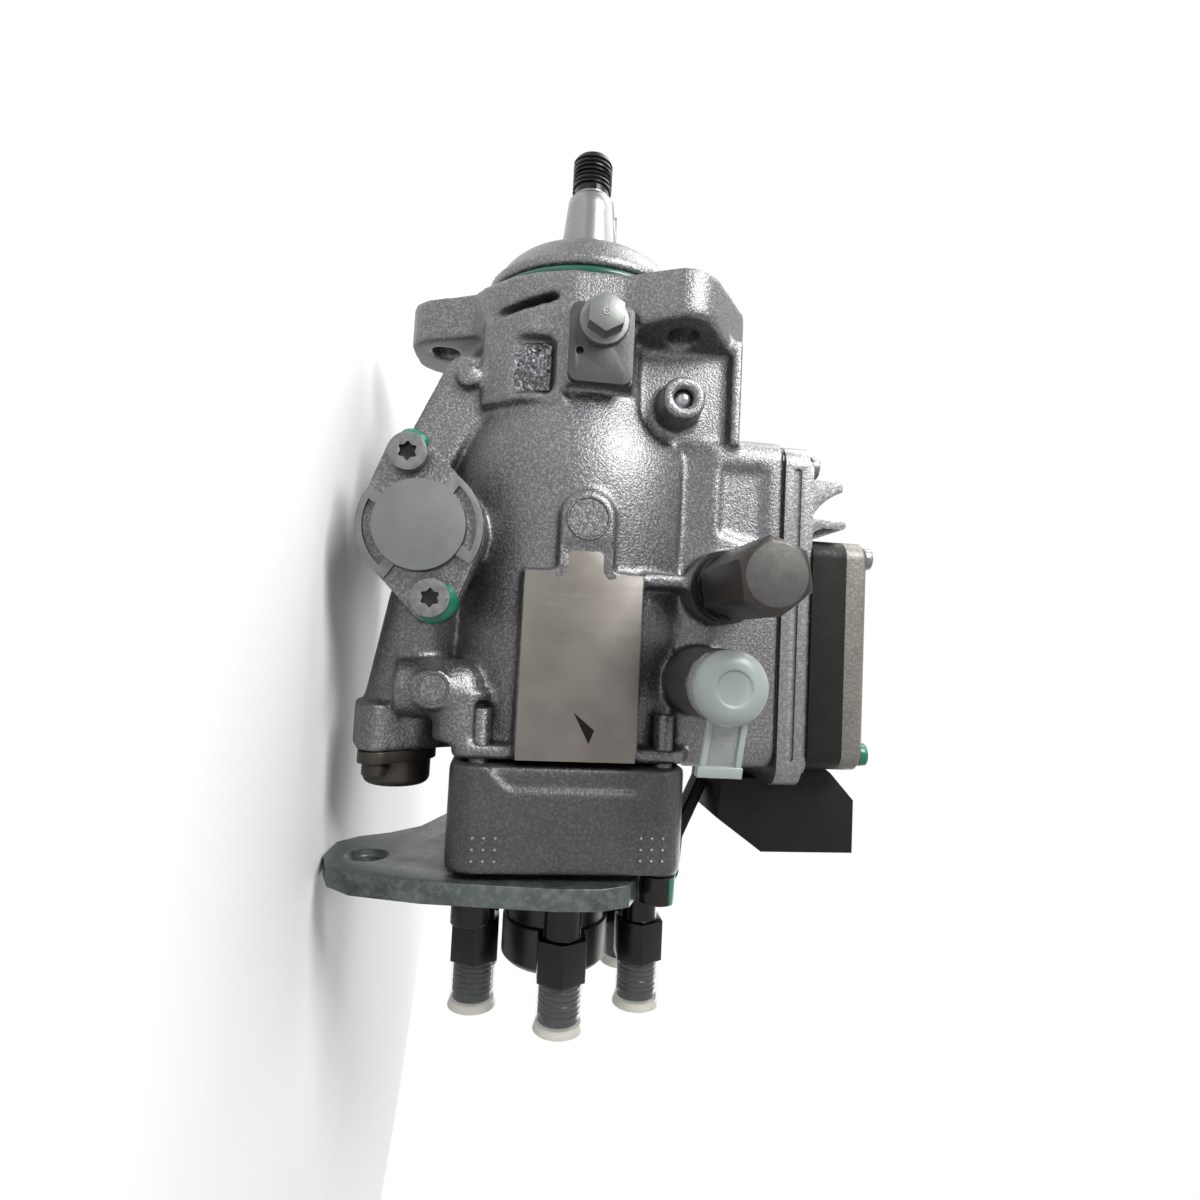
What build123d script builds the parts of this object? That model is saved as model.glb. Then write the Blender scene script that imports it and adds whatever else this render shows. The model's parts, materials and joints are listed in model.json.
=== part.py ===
from build123d import *
import os
from math import cos, radians, sin, sqrt

# Distributor injection pump with a control unit on its side, in millimetres.
# The origin is where the shaft axis meets the flange's mounting face. +X runs back along the shaft to the
# outlets, +Z points to the control unit, and -Y is the side with the milled pad.

os.makedirs("parts", exist_ok=True)

# Clearances
running = 0.03  # radial, between a shaft and its plain bearing
sliding = 0.05  # radial, between a piston and its bore
free = 0.3  # between faces that move past each other
slack = 0.2  # between a loose locating spigot and its bore

# Drive shaft
shaft_tip_x = -62.0
thread_r = 7.0
shaft_chamfer = 1.0
taper_chamfer = 0.6
taper_chamfer_length = 0.8
shoulder_chamfer = 0.6
thread_length = 13.5
neck_length = 1.5
neck_r = 6.2
taper_small_r = 8.0
taper_length = 21.0
taper_slope = 0.1  # radius gained for each millimetre along the 1:5 taper
shoulder_length = 2.0
journal_r = 12.5
key_length = 12.0
key_width = 4.0
key_height = 3.4
key_slot_depth = 1.2  # below the taper's small end
key_top_gap = 1.0

# Nose and pilot
pilot_r = 34.0
pilot_length = 10.0
groove_front = 3.0
ring_section_r = 1.7
rim_chamfer = 1.6
cone_length = 3.0
cone_end_r = 31.0
nose_length = 21.5
nose_front_r = 20.0
nose_dome_r = 17.0
seal_r = 17.0
seal_length = 7.0
seal_front_gap = 0.6
seal_lip_length = 1.4
seal_lip_rise = 2.0
seal_rear_length = 2.5
bush_r = 14.5
bush_length = 25.0
bush_front_x = -13.0
bush_lip = 1.2

# Flange
flange_thickness = 14.0
bolt_circle_r = 47.0
bolt_angles = (26.0, 146.0, 266.0)
bolt_hole_r = 4.5
ear_r = 11.0
ear_root_r = 33.0
flange_step = 4.0  # between the waist and the flange's round edge
foot_centre = (6.0, -46.5)
crown_centre = (-20.0, 39.5)

# Housing
body_length = 143.0
bore_r = 33.0
bore_front_x = 16.0
waist_wall = 5.0  # housing wall behind the flange
barrel_wall = 11.0  # housing wall and pump body at the widest place
barrel_front_x = 50.0
barrel_swell = 0.8
rear_wall = 7.0
lip_thickness = 4.3
rim_length = 1.0  # the bore's rim that centres the head's gasket face
rim_wall = 1.8
lip_top = 34.0
lip_corner_r = 6.0

# Milled pad and its round boss
pad_stand = 1.0  # milled face in front of the barrel
pad_front_x = 89.0
pad_rear_gap = 1.0
pad_low = -17.6
pad_high = 17.2
pad_corner_r = 2.0
pad_tab_length = 8.0
pad_tab_half_width = 7.2
pad_boss_x = 74.0
pad_boss_r = 8.0
pad_boss_stand = 1.5

# Timing device
timing_setback = 10.4  # from the roller ring's front to the cross bore
timing_wall = 2.65  # between the shaft bore and the cross bore
timing_bore_r = 10.35
timing_casting_r = 16.5
timing_half_length = 42.0
timing_tilt = 12.0
timing_screw_circle_r = 20.0
timing_lug_r = 6.4
timing_flange_r = 17.0
timing_flange_thickness = 8.0
timing_cover_thickness = 4.0
timing_boss_r = 12.7
timing_boss_height = 4.0
timing_cup_r = 9.0
timing_cup_depth = 4.5
piston_front_cup_r = 7.0
piston_front_cup_depth = 8.5
piston_spring_cup_r = 8.0
pin_hole_reach = 5.0
timing_piston_half_length = 18.0
timing_pin_r = 3.5
timing_pin_hole_r = 5.0
timing_pin_margin = 1.0  # above the middle of the cross bore
advance_pin_inset = 1.0

# Vane pump
vane_ring_length = 14.0
vane_ring_bore_r = 26.0
vane_ring_offset = 3.4
vane_rotor_r = 22.0
vane_thickness = 2.5
vane_count = 4
vane_plate_thickness = 4.0
vane_port_r = 3.0
vane_port_angle = 45.0

# Trigger wheel and angle sensor
wheel_gap = 6.0
wheel_thickness = 4.0
wheel_margin = 5.0  # between the wheel and the bore
wheel_teeth = 30
tooth_gap_depth = 2.5
tooth_gap_width = 2.6
sensor_gap = 3.0
sensor_ring_thickness = 3.0
sensor_ring_inner_r = 26.0
sensor_ring_margin = 1.0
sensor_head_length = 9.0
sensor_head_margin = 1.0
sensor_leg_thickness = 4.0
sensor_leg_width = 12.0

# Coupling between the shaft and the cam plate
yoke_gap = 2.0
yoke_thickness = 4.0
claw_length = 9.0
claw_width = 10.0
claw_outer_r = 24.0
claw_inner_gap = 2.0
disc_thickness = 7.0
disc_hole_r = 6.0
claw_tip_gap = 1.0
cam_claw_inner_r = 10.0
cam_claw_outer_r = 15.5

# Rollers and cam
roller_count = 6
roller_web = 7.5  # ring in front of the rollers
roller_r = 6.5
roller_inner_r = 20.0
roller_outer_r = 30.0
roller_pin_r = 2.5
roller_ring_gap = 4.0
roller_stand_out = 2.5  # how far the rollers stand out of their ring
roller_ring_inner_r = 17.0
roller_pin_inset = 1.0  # below the ring's outer face
pin_overlap = 2.0
cam_lift = 2.2
cam_lobe_half_width = 6.0
cam_plate_margin = 2.0
cam_plate_thickness = 9.0
cam_track_inner_r = 19.5
cam_track_outer_r = 30.5
track_margin = 1.0

# Plunger, its yoke and springs
plunger_r = 6.0
plunger_rear_gap = 4.0  # from the plunger's end to the head's rear face
foot_r = 10.0
yoke_ring_wall = 2.0
foot_thickness = 4.0
spring_yoke_thickness = 4.0
yoke_margin = 0.5  # between the yoke's ends and the bore
spring_coil_r = 6.3
spring_wire_r = 1.1
spring_turns = 4.0
yoke_end_r = 8.5

# Head
spigot_length = 8.0
head_length = 29.0
head_stand = 1.0  # the head's far side beyond the barrel
head_low = -35.0
head_high = 32.5
head_corner_r = 9.0
barrel_sleeve_r = 12.0
head_screw_near = 10.0  # from the head's near and far sides, its foot and its top
head_screw_far = 8.0
head_screw_low = 8.0
head_screw_high = 6.0
head_screw_r = 3.0

# Delivery valve holders and their caps
outlet_count = 6
outlet_radius = 29.5
holder_root_r = 6.0
holder_root_length = 13.0
holder_r = 5.5
holder_length = 22.0
holder_hex = 14.0
holder_hex_length = 12.0
holder_thread_length = 11.5
holder_bore_r = 1.2
holder_bore_run = 6.0  # into the hexagon
holder_seat_r = 3.2
cap_wall = 0.65
cap_length = 14.3
cap_lip_r = 7.6
cap_lip_length = 2.2
cap_lip_flare = 18.0

# Rear solenoid
solenoid_r = 16.0
solenoid_neck_length = 26.0
solenoid_cap_r = 17.3
solenoid_cap_length = 14.0
solenoid_edge = 2.0
solenoid_rim = 4.0
solenoid_dish = 1.0
needle_r = 3.0
needle_tip = 2.0
needle_rear_gap = 2.0
needle_length = 16.0
needle_stroke = 0.4
needle_front_gap = 6.0

# Bracket plate
bracket_gap = 2.0
bracket_thickness = 6.0
bracket_hole = (-21.0, -58.5)
bracket_hole_r = 4.5
bracket_dish_r = 8.0
bracket_dish_depth = 1.6

# Control unit
unit_front_x = 43.0
unit_overhang = 1.0  # behind the head's front face
unit_near = -35.0
unit_far = 38.0
unit_stand = 17.0  # seat above the barrel
unit_root_depth = 31.0
gasket_thickness = 0.6
base_setback = 1.0
base_overhang = 5.0
base_thickness = 8.0
base_step = 2.5
base_step_inset = 3.0
base_step_corner_r = 5.0
base_groove_margin = 8.0
base_groove_width = 2.4
base_groove_depth = 1.0
box_front_x = 73.0
box_height = 11.0
box_inset = 2.0
cover_thickness = 7.0
hump_height = 3.0
hump_front_gap = 10.0
hump_rear_gap = 12.0

# Ports on the near side
overflow_pitch = 27.6  # along the shaft, from the inlet
overflow_z = 41.0
overflow_boss_r = 10.5

overflow_hex = 17.0
overflow_length = 38.0
overflow_turn = 10.0
overflow_face_r = 7.6
overflow_chamfer_slope = 0.6  # rise for each millimetre out from the face
overflow_washer_r = 9.8
overflow_washer_thickness = 1.5
overflow_thread_r = 6.5
overflow_thread_length = 10.0
inlet_rear_gap = 24.4  # from the housing's rear face
inlet_z = 36.0
inlet_boss_r = 10.0
inlet_stand = 17.0  # boss in front of the milled pad
inlet_hole_r = 6.0
inlet_hole_depth = 14.0
inlet_cap_r = 9.3
inlet_cap_height = 9.0
inlet_cap_step = 0.8
inlet_cap_taper = 22.0

# Lock screw, plate and ball plug
lock_x = 16.6
lock_z = 1.7
lock_stand = 4.0  # seat in front of the waist
lock_plate_thickness = 3.0
lock_screw_hex = 10.0
lock_screw_head = 7.0
lock_washer_r = 7.4
lock_washer_height = 1.6
lock_washer_taper = 12.0
ball_x = 36.4
ball_z = 26.4

ball_boss_r = 6.6
ball_r = 3.05
ball_recess = 0.8  # how far the ball sits below the boss

# Timing solenoid valve
valve_y = -15.0
valve_drop = 6.5  # below the cross bore
valve_r = 10.0
valve_length = 8.0
valve_stem_r = 6.0
valve_stem_length = 20.0
valve_plate_thickness = 3.5
valve_plate_margin = 1.5
valve_edge_r = 2.5
valve_screw_head_height = 3.6
valve_screw_shift = -13.0  # from the valve
valve_screw_drop = 4.5

# Screws
screw_end_gap = 1.0  # between a screw's end and the bottom of its hole
screw_r = 3.0
screw_length = 15.0
screw_head_r = 5.3
screw_head_height = 4.0
screw_drive_r = 2.6
screw_drive_depth = 2.2
timing_screw_depth = 16.0
lock_screw_depth = 7.0
head_screw_depth = 16.0
head_screw_head = 8.0
screw_boss_r = 5.8
small_screw_r = 2.0
small_screw_depth = 10.0
small_head_r = 3.6
small_head_height = 2.6
small_drive_r = 1.7

# Smaller features
passage_r = 1.2
passage_depth = 40.0
port_setback = 11.0
port_r = 1.0
groove_length = 6.0  # distributing groove on the plunger
groove_width = 2.0
groove_depth = 1.0
seat_gap = 0.05
seat_relief = 1.5
timing_rib_length = 5.2
timing_rib_radius = 14.4
timing_rib_angles = (60, 145, 240, 325)
timing_rim_width = 1.8
timing_rim_half_span = 11.2
timing_boss_taper = 4.0
timing_rib_width = 3.0
timing_rib_height = 2.0
timing_spring_r = 6.6
valve_lug_r = 5.0
valve_screw_head_r = 3.6
lock_plate_length = 23.5
lock_plate_width = 18.7
lock_plate_front_x = 11.0
lock_plate_shift = 0.3
lock_corner_r = 3.0
lock_seat_depth = 12.0
lock_hole_r = 1.1
lock_hole_run = 9.0  # from the lock screw
lock_hole_drop = 6.5
overflow_collar_r = 8.2
overflow_collar_length = 3.0
inlet_cap_rim = 3.0
inlet_plug_length = 9.0
tab_length = 24.0
tab_width = 11.5
tab_thickness = 1.6
tab_angle = 12.0
tab_window_length = 13.8
tab_window_width = 7.5
tab_corner_r = 2.0
tab_window_corner_r = 1.0
tab_inset = 5.5
fin_front_x = 54.0
fin_rise = 10.0  # above the base's step
fin_nose_r = 2.0
fin_tip_length = 3.4
fin_foot_length = 12.0
fin_hollow = 1.2
fin_inset = 1.0
plate_fin_x = 66.6
plate_fin_thickness = 2.8
plate_fin_rise = 11.4
plate_fin_foot_rise = 5.0
plate_fin_foot_length = 3.4
box_wall = 5.0
box_corner_r = 6.0
box_inner_r = 4.0
cover_chamfer = 1.2
hump_corner_r = 5.0
hump_taper = 15.0
gasket_inset = 1.0
box_wall_floor = 2.5
hump_inset = 9.0
cover_screw_grip = 6.0
cover_screw_end_inset = 5.0
cover_screw_side_inset = 7.0
base_screw_x = 49.5
base_screw_inset = 8.0
connector_drop = 11.0  # below the unit's seat
connector_corner_drop = 1.0
connector_knee_run = 13.0
connector_knee_rise = 3.0  # above the unit's seat
connector_run = 23.5
connector_rise = 4.9  # above the cover
connector_top_length = 17.0
connector_lean = 2.0
connector_lean_rise = 4.0
connector_half_width = 18.0
socket_half_width = 14.0
socket_height = 20.0
socket_drop = 15.0  # from the connector's top to the socket's middle
socket_depth = 16.0
contact_r = 0.9
socket_corner_r = 3.0
contact_rows = 3
lead_corner_r = 1.0
contact_length = 9.0
pin_pitch = 8.0
pin_row_pitch = 5.5
lead_width = 9.0
lead_thickness = 4.0
lead_bend_r = 6.0
lead_start_run = 3.5
lead_start_drop = 2.2
lead_knee_gap = 0.5
lead_knee_rise = 7.1
lead_end_run = 8.0
lead_end_rise = 6.0
land_margin = 0.1
recess_width = 6.5
recess_depth = 1.2
recess_low = -24.0
recess_high = 24.0
recess_step = 1.0
recess_slope_run = 6.0
bracket_inner_r = 36.0

crown_far_centre = (14.0, 39.0)
crown_root_width = 36.0
crown_root_rise = 22.0
crown_root_depth = 4.0
crown_overlap = 4.0
bolt_access = 6.0  # clear length behind the flange for a nut
root_overlap = 2.0
cut_margin = 1.0
seat_corner_r = 7.0
lock_block_rear_x = 34.0
lock_block_height = 20.0
block_depth = 20.0
ear_slot_x = 9.6
ear_slot_z = -22.0
ear_slot_length = 23.0
ear_slot_width = 2.4
ear_slot_tilt = 12.0
ear_slot_depth = 14.0
frame_rise = 2.0  # of the cast pocket's frame above the waist
frame_low_z = -33.0
frame_high_z = -8.4
frame_bend_z = -20.0
frame_bend_drop = 1.5
frame_low_drop = 11.5
frame_depth = 20.0
frame_rear_x = 39.0
pocket_front_x = 19.5
pocket_rear_x = 36.5
pocket_low_z = -25.5
pocket_high_z = -11.4
pocket_corner_r = 2.5
pocket_floor = 1.6  # housing wall left under the pocket
ball_recess_r = 12.0
ball_recess_low_z = 14.4
ear_root_run = 4.3  # extra thickness of the upper ear at its root
ear_root_low_z = 12.0
floor_rear_overlap = 4.0
floor_depth = 20.0
floor_rim_z = 42.6
floor_rim_top_z = 46.0
floor_rim_rise = 4.0
seat_slope_run = 4.0
seat_slope_low_z = 29.0
seat_slope_high_z = 40.0
seat_panel_front_x = 53.0
seat_panel_rear_x = 76.0
seat_panel_low_z = 41.0
seat_panel_high_z = 55.5
seat_panel_depth = 1.6
seat_panel_corner_r = 1.5
overflow_skirt_r = 17.0
pad_rib_x = 90.0
pad_rib_thickness = 4.0
pad_rib_drop = 2.0
web_boss = (30.0, -37.0)
web_boss_r = 8.0
web_boss_near_y = -26.0
web_boss_depth = 40.0
web_step_r = 3.6
web_step_height = 4.0
lug_wall = 1.5
seat_margin = 0.6
lobe_setback = 16.0
lobe_y = -24.0
lobe_start_r = 10.0
valve_wall = 3.5
valve_seat_depth = 14.0
valve_screw_wall = 5.5
duct_setback = 19.0
duct_y = -30.0
duct_r = 8.4
duct_arm_r = 9.0
duct_low_z = -52.0
duct_bend_z = -34.0
duct_arm_z = -32.0
duct_end_gap = 4.0
duct_plug_y = -39.5
duct_plug_z = -41.0
duct_plug_r = 6.0
pad_depth = 14.0
boss_depth = 25.0
inlet_boss_depth = 40.0
advance_slot_length = 9.0

# Places worked out from the sizes above
waist_r = bore_r + waist_wall
barrel_r = bore_r + barrel_wall
barrel_rear_r = bore_r + rear_wall
flange_r = waist_r + flange_step
recess_front_x = flange_thickness + ear_root_run
pad_y = barrel_r + pad_stand
overflow_boss_y = -pad_y
ball_boss_y = -pad_y
inlet_boss_y = -pad_y - inlet_stand
lock_pad_y = -waist_r - lock_stand
frame_near_y = -waist_r - frame_rise
inlet_x = body_length - inlet_rear_gap
overflow_x = inlet_x - overflow_pitch
duct_x = body_length - duct_setback
pad_rear_x = body_length - pad_rear_gap
unit_seat_z = barrel_r + unit_stand
unit_root_z = unit_seat_z - unit_root_depth
timing_z = -bore_r - timing_wall - timing_bore_r
valve_z = timing_z - valve_drop
valve_screw_y = valve_y + valve_screw_shift
valve_screw_z = valve_z - valve_screw_drop
spring_radius = bore_r - yoke_margin - yoke_end_r
head_front_x = body_length + rim_length
spigot_front_x = head_front_x - spigot_length
head_near = -pad_y
head_far = barrel_rear_r + head_stand
head_screw_y = (head_near + head_screw_near, head_far - head_screw_far)
head_screw_z = (head_low + head_screw_low, head_high - head_screw_high)
unit_rear_x = head_front_x + unit_overhang
base_front_x = unit_front_x + base_setback
floor_rear_x = unit_front_x + floor_rear_overlap
floor_mid_x = 0.5 * (flange_thickness + floor_rear_x)
base_mid_x = 0.5 * (unit_front_x + base_setback + unit_rear_x + base_overhang)
box_mid_x = 0.5 * (box_front_x + unit_rear_x)
box_width = unit_far - unit_near - 2 * box_inset
seat_panel_x = 0.5 * (seat_panel_front_x + seat_panel_rear_x)
seat_panel_length = seat_panel_rear_x - seat_panel_front_x
seat_panel_width = seat_panel_high_z - seat_panel_low_z
base_rear_x = unit_rear_x + base_overhang
hump_front_x = box_front_x + hump_front_gap
hump_rear_x = unit_rear_x - hump_rear_gap
connector_knee_x = base_rear_x + connector_knee_run
connector_rear_x = base_rear_x + connector_run
connector_low_z = unit_seat_z - connector_drop
connector_knee_z = unit_seat_z + connector_knee_rise
wheel_r = bore_r - wheel_margin
sensor_ring_outer_r = bore_r - sensor_ring_margin
roller_pin_length = bore_r - sliding - roller_pin_inset - roller_ring_inner_r
cam_plate_r = bore_r - cam_plate_margin
land_r = outlet_radius + holder_root_r + land_margin
thread_end_x = shaft_tip_x + thread_length
taper_start_x = thread_end_x + neck_length
taper_end_x = taper_start_x + taper_length
taper_large_r = taper_small_r + taper_slope * taper_length
shoulder_x = taper_end_x + shoulder_length
nose_front_x = -nose_length
cone_end_x = -pilot_length - cone_length
seal_front_x = nose_front_x + seal_front_gap
seal_rear_x = nose_front_x + seal_length
bush_rear_x = bush_front_x + bush_length
vane_ring_rear_x = bore_front_x + vane_ring_length
vane_plate_rear_x = vane_ring_rear_x + vane_plate_thickness
wheel_x = vane_plate_rear_x + wheel_gap
sensor_ring_x = wheel_x + wheel_thickness + sensor_gap
yoke_x = sensor_ring_x + sensor_ring_thickness + yoke_gap
claw_front_x = yoke_x + yoke_thickness
claw_rear_x = claw_front_x + claw_length
disc_front_x = claw_front_x + claw_tip_gap
disc_rear_x = disc_front_x + disc_thickness
cam_claw_x = claw_front_x + cam_lift + free
roller_ring_front_x = claw_rear_x + roller_ring_gap
roller_x = roller_ring_front_x + roller_web + roller_r
roller_ring_rear_x = roller_x + roller_r - roller_stand_out
timing_x = roller_ring_front_x + timing_setback
crest_x = roller_x + roller_r + free
valley_x = crest_x + cam_lift
cam_rear_x = valley_x + cam_plate_thickness
foot_rear_x = cam_rear_x + foot_thickness
spring_yoke_x = foot_rear_x + free
spring_front_x = spring_yoke_x + spring_yoke_thickness
head_rear_x = head_front_x + head_length
plunger_rear_x = head_rear_x - plunger_rear_gap
port_x = head_front_x + port_setback
bracket_x = head_rear_x + bracket_gap
head_screw_length = head_length + bracket_gap + head_screw_depth - screw_end_gap
bracket_rear_x = bracket_x + bracket_thickness
holder_hex_x = head_rear_x + holder_length
holder_thread_x = holder_hex_x + holder_hex_length
holder_end_x = holder_thread_x + holder_thread_length
gasket_top_z = unit_seat_z + gasket_thickness
base_top_z = gasket_top_z + base_thickness
step_top_z = base_top_z + base_step
box_top_z = step_top_z + box_height
cover_top_z = box_top_z + cover_thickness
connector_top_z = cover_top_z + connector_rise
socket_mid_z = connector_top_z - socket_drop
cover_near_y = timing_half_length + timing_cover_thickness
lobe_r = (cam_lobe_half_width**2 + cam_lift**2) / (2 * cam_lift)
key_x = 0.5 * (taper_start_x + taper_end_x)
cam_slot_inner = sqrt(cam_claw_inner_r**2 - (0.5 * claw_width) ** 2) - free
cam_slot_length = claw_outer_r + free - cam_slot_inner
cam_slot_middle = 0.5 * (claw_outer_r + free + cam_slot_inner)
shaft_slot_middle = 0.5 * (claw_outer_r + cam_claw_inner_r)
vane_tip_r = vane_ring_bore_r - vane_ring_offset - slack
vane_slot_depth = 8.0
vane_length = vane_tip_r - vane_rotor_r + vane_slot_depth - slack
plunger_spring_pitch = (spigot_front_x - spring_front_x - 2 * spring_wire_r - 2 * seat_gap) / spring_turns
timing_spring_start = timing_piston_half_length - timing_cup_depth + spring_wire_r + seat_gap
timing_spring_end = timing_half_length + timing_cup_depth - spring_wire_r - seat_gap
timing_spring_pitch = (timing_spring_end - timing_spring_start) / spring_turns
valve_body_x = body_length + valve_plate_thickness
lock_plate_x = lock_plate_front_x + 0.5 * lock_plate_length
lock_plate_z = lock_z - lock_plate_shift
lock_hole_x = lock_x + lock_hole_run
lock_hole_z = lock_z - lock_hole_drop
overflow_seat_y = overflow_boss_y - overflow_washer_thickness
overflow_end_y = overflow_seat_y - overflow_length
overflow_chamfer_y = overflow_end_y + overflow_chamfer_slope * (overflow_hex - overflow_face_r)
tab_centre = inlet_cap_r + tab_inset
tab_lean = -3.4
tab_window_shift = 2.6
fin_top_z = step_top_z + fin_rise
half_turn_step = fin_nose_r * sin(radians(45))
plate_fin_top_z = step_top_z + plate_fin_rise
fin_length = unit_far - unit_near - 2 * base_step_inset - 2 * fin_inset
fin_slope = sqrt((fin_foot_length - fin_tip_length) ** 2 + fin_rise**2)
fin_hollow_middle = (
    fin_front_x + 0.5 * (fin_tip_length + fin_foot_length) - fin_hollow * fin_rise / fin_slope,
    step_top_z + 0.5 * fin_rise - fin_hollow * (fin_foot_length - fin_tip_length) / fin_slope,
)
unit_mid_x = 0.5 * (unit_front_x + unit_rear_x)
unit_mid_y = 0.5 * (unit_near + unit_far)
base_screw_centres = [(base_screw_x, y) for y in (unit_near + base_screw_inset, unit_far - base_screw_inset)]
cover_screw_centres = [
    (x, y)
    for x in (box_front_x + cover_screw_end_inset, unit_rear_x - cover_screw_end_inset)
    for y in (unit_near + cover_screw_side_inset, unit_far - cover_screw_side_inset)
]
head_screw_centres = [(y, z) for y in head_screw_y for z in head_screw_z]
head_clamp_centres = [c for c in head_screw_centres if c[1] < 0]
head_free_centres = [c for c in head_screw_centres if c[1] > 0]
solenoid_cap_x = bracket_x + solenoid_neck_length - bracket_gap
solenoid_end_x = solenoid_cap_x + solenoid_cap_length
needle_x = bracket_x + needle_front_gap
bracket_inner_points = [
    (bracket_inner_r * cos(radians(a)), bracket_inner_r * sin(radians(a))) for a in (-34, -125, -212)
]
cap_outer_r = holder_root_r + sliding + cap_wall
cap_end_x = holder_thread_x + cap_length
roller_angles = [30 + 60 * i for i in range(roller_count)]
lobe_angles = [60 * i for i in range(roller_count)]
timing_rib_places = [
    Location(
        (timing_x + timing_rib_radius * cos(radians(a)), timing_z + timing_rib_radius * sin(radians(a)), 0),
        (0, 0, a),
    )
    for a in timing_rib_angles
]
lead_points = [
    (base_rear_x + lead_start_run, connector_low_z - lead_start_drop),
    (head_rear_x - lead_knee_gap, head_high + lead_knee_rise),
    (bracket_rear_x + lead_end_run, head_high + lead_end_rise),
    (bracket_rear_x + lead_end_run, solenoid_r + free),
]

bolt_centres = [(bolt_circle_r * cos(radians(a)), bolt_circle_r * sin(radians(a))) for a in bolt_angles]
ear_edge_y = bolt_centres[1][0] - ear_r
timing_screw_centres = [
    (timing_x + side * timing_screw_circle_r * cos(radians(timing_tilt)),
     timing_z + side * timing_screw_circle_r * sin(radians(timing_tilt)))
    for side in (-1, 1)
]
outlet_centres = [
    (outlet_radius * cos(radians(60 * i)), outlet_radius * sin(radians(60 * i))) for i in range(outlet_count)
]


def across(x):
    """The plane square to the shaft at x: its own x is Y and its own y is Z."""
    return Plane.YZ.offset(x)


def near(y):
    """The plane facing the pad side at y: its own x is X and its own y is Z."""
    return Plane.XZ.offset(-y)


def turned(points, mode=Mode.ADD):
    """Revolves a closed outline of (x, radius) points about the shaft axis, in the current part."""
    with BuildSketch(Plane.XY) as outline:
        with BuildLine():
            Polyline(*points, close=True)
        make_face()
    revolve(outline.sketch, axis=Axis.X, mode=mode)


def save(part, name):
    """Labels a finished piece and writes its STEP file."""
    part.label = name
    export_step(part, "parts/" + name + ".step")


def screws(plane, centres, outward, shank_r, length, head_r, head_height, drive_r):
    """Adds screws with a hexagon recess; outward is 1 where the plane faces away from the joint, else -1."""
    with BuildSketch(plane) as shank:
        with Locations(*centres):
            Circle(shank_r)
    extrude(shank.sketch, amount=-outward * length)
    with BuildSketch(plane) as cap:
        with Locations(*centres):
            Circle(head_r)
    extrude(cap.sketch, amount=outward * head_height)
    with BuildSketch(plane.offset(outward * head_height)) as drive:
        with Locations(*centres):
            RegularPolygon(drive_r, 6)
    extrude(drive.sketch, amount=-outward * screw_drive_depth, mode=Mode.SUBTRACT)


def diamond(central_r, lug_r):
    """The timing cover's outline in the current sketch: a round middle and two lugs, hulled."""
    with Locations((timing_x, timing_z)):
        Circle(central_r)
    with Locations(*timing_screw_centres):
        Circle(lug_r)
    make_hull()


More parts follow.
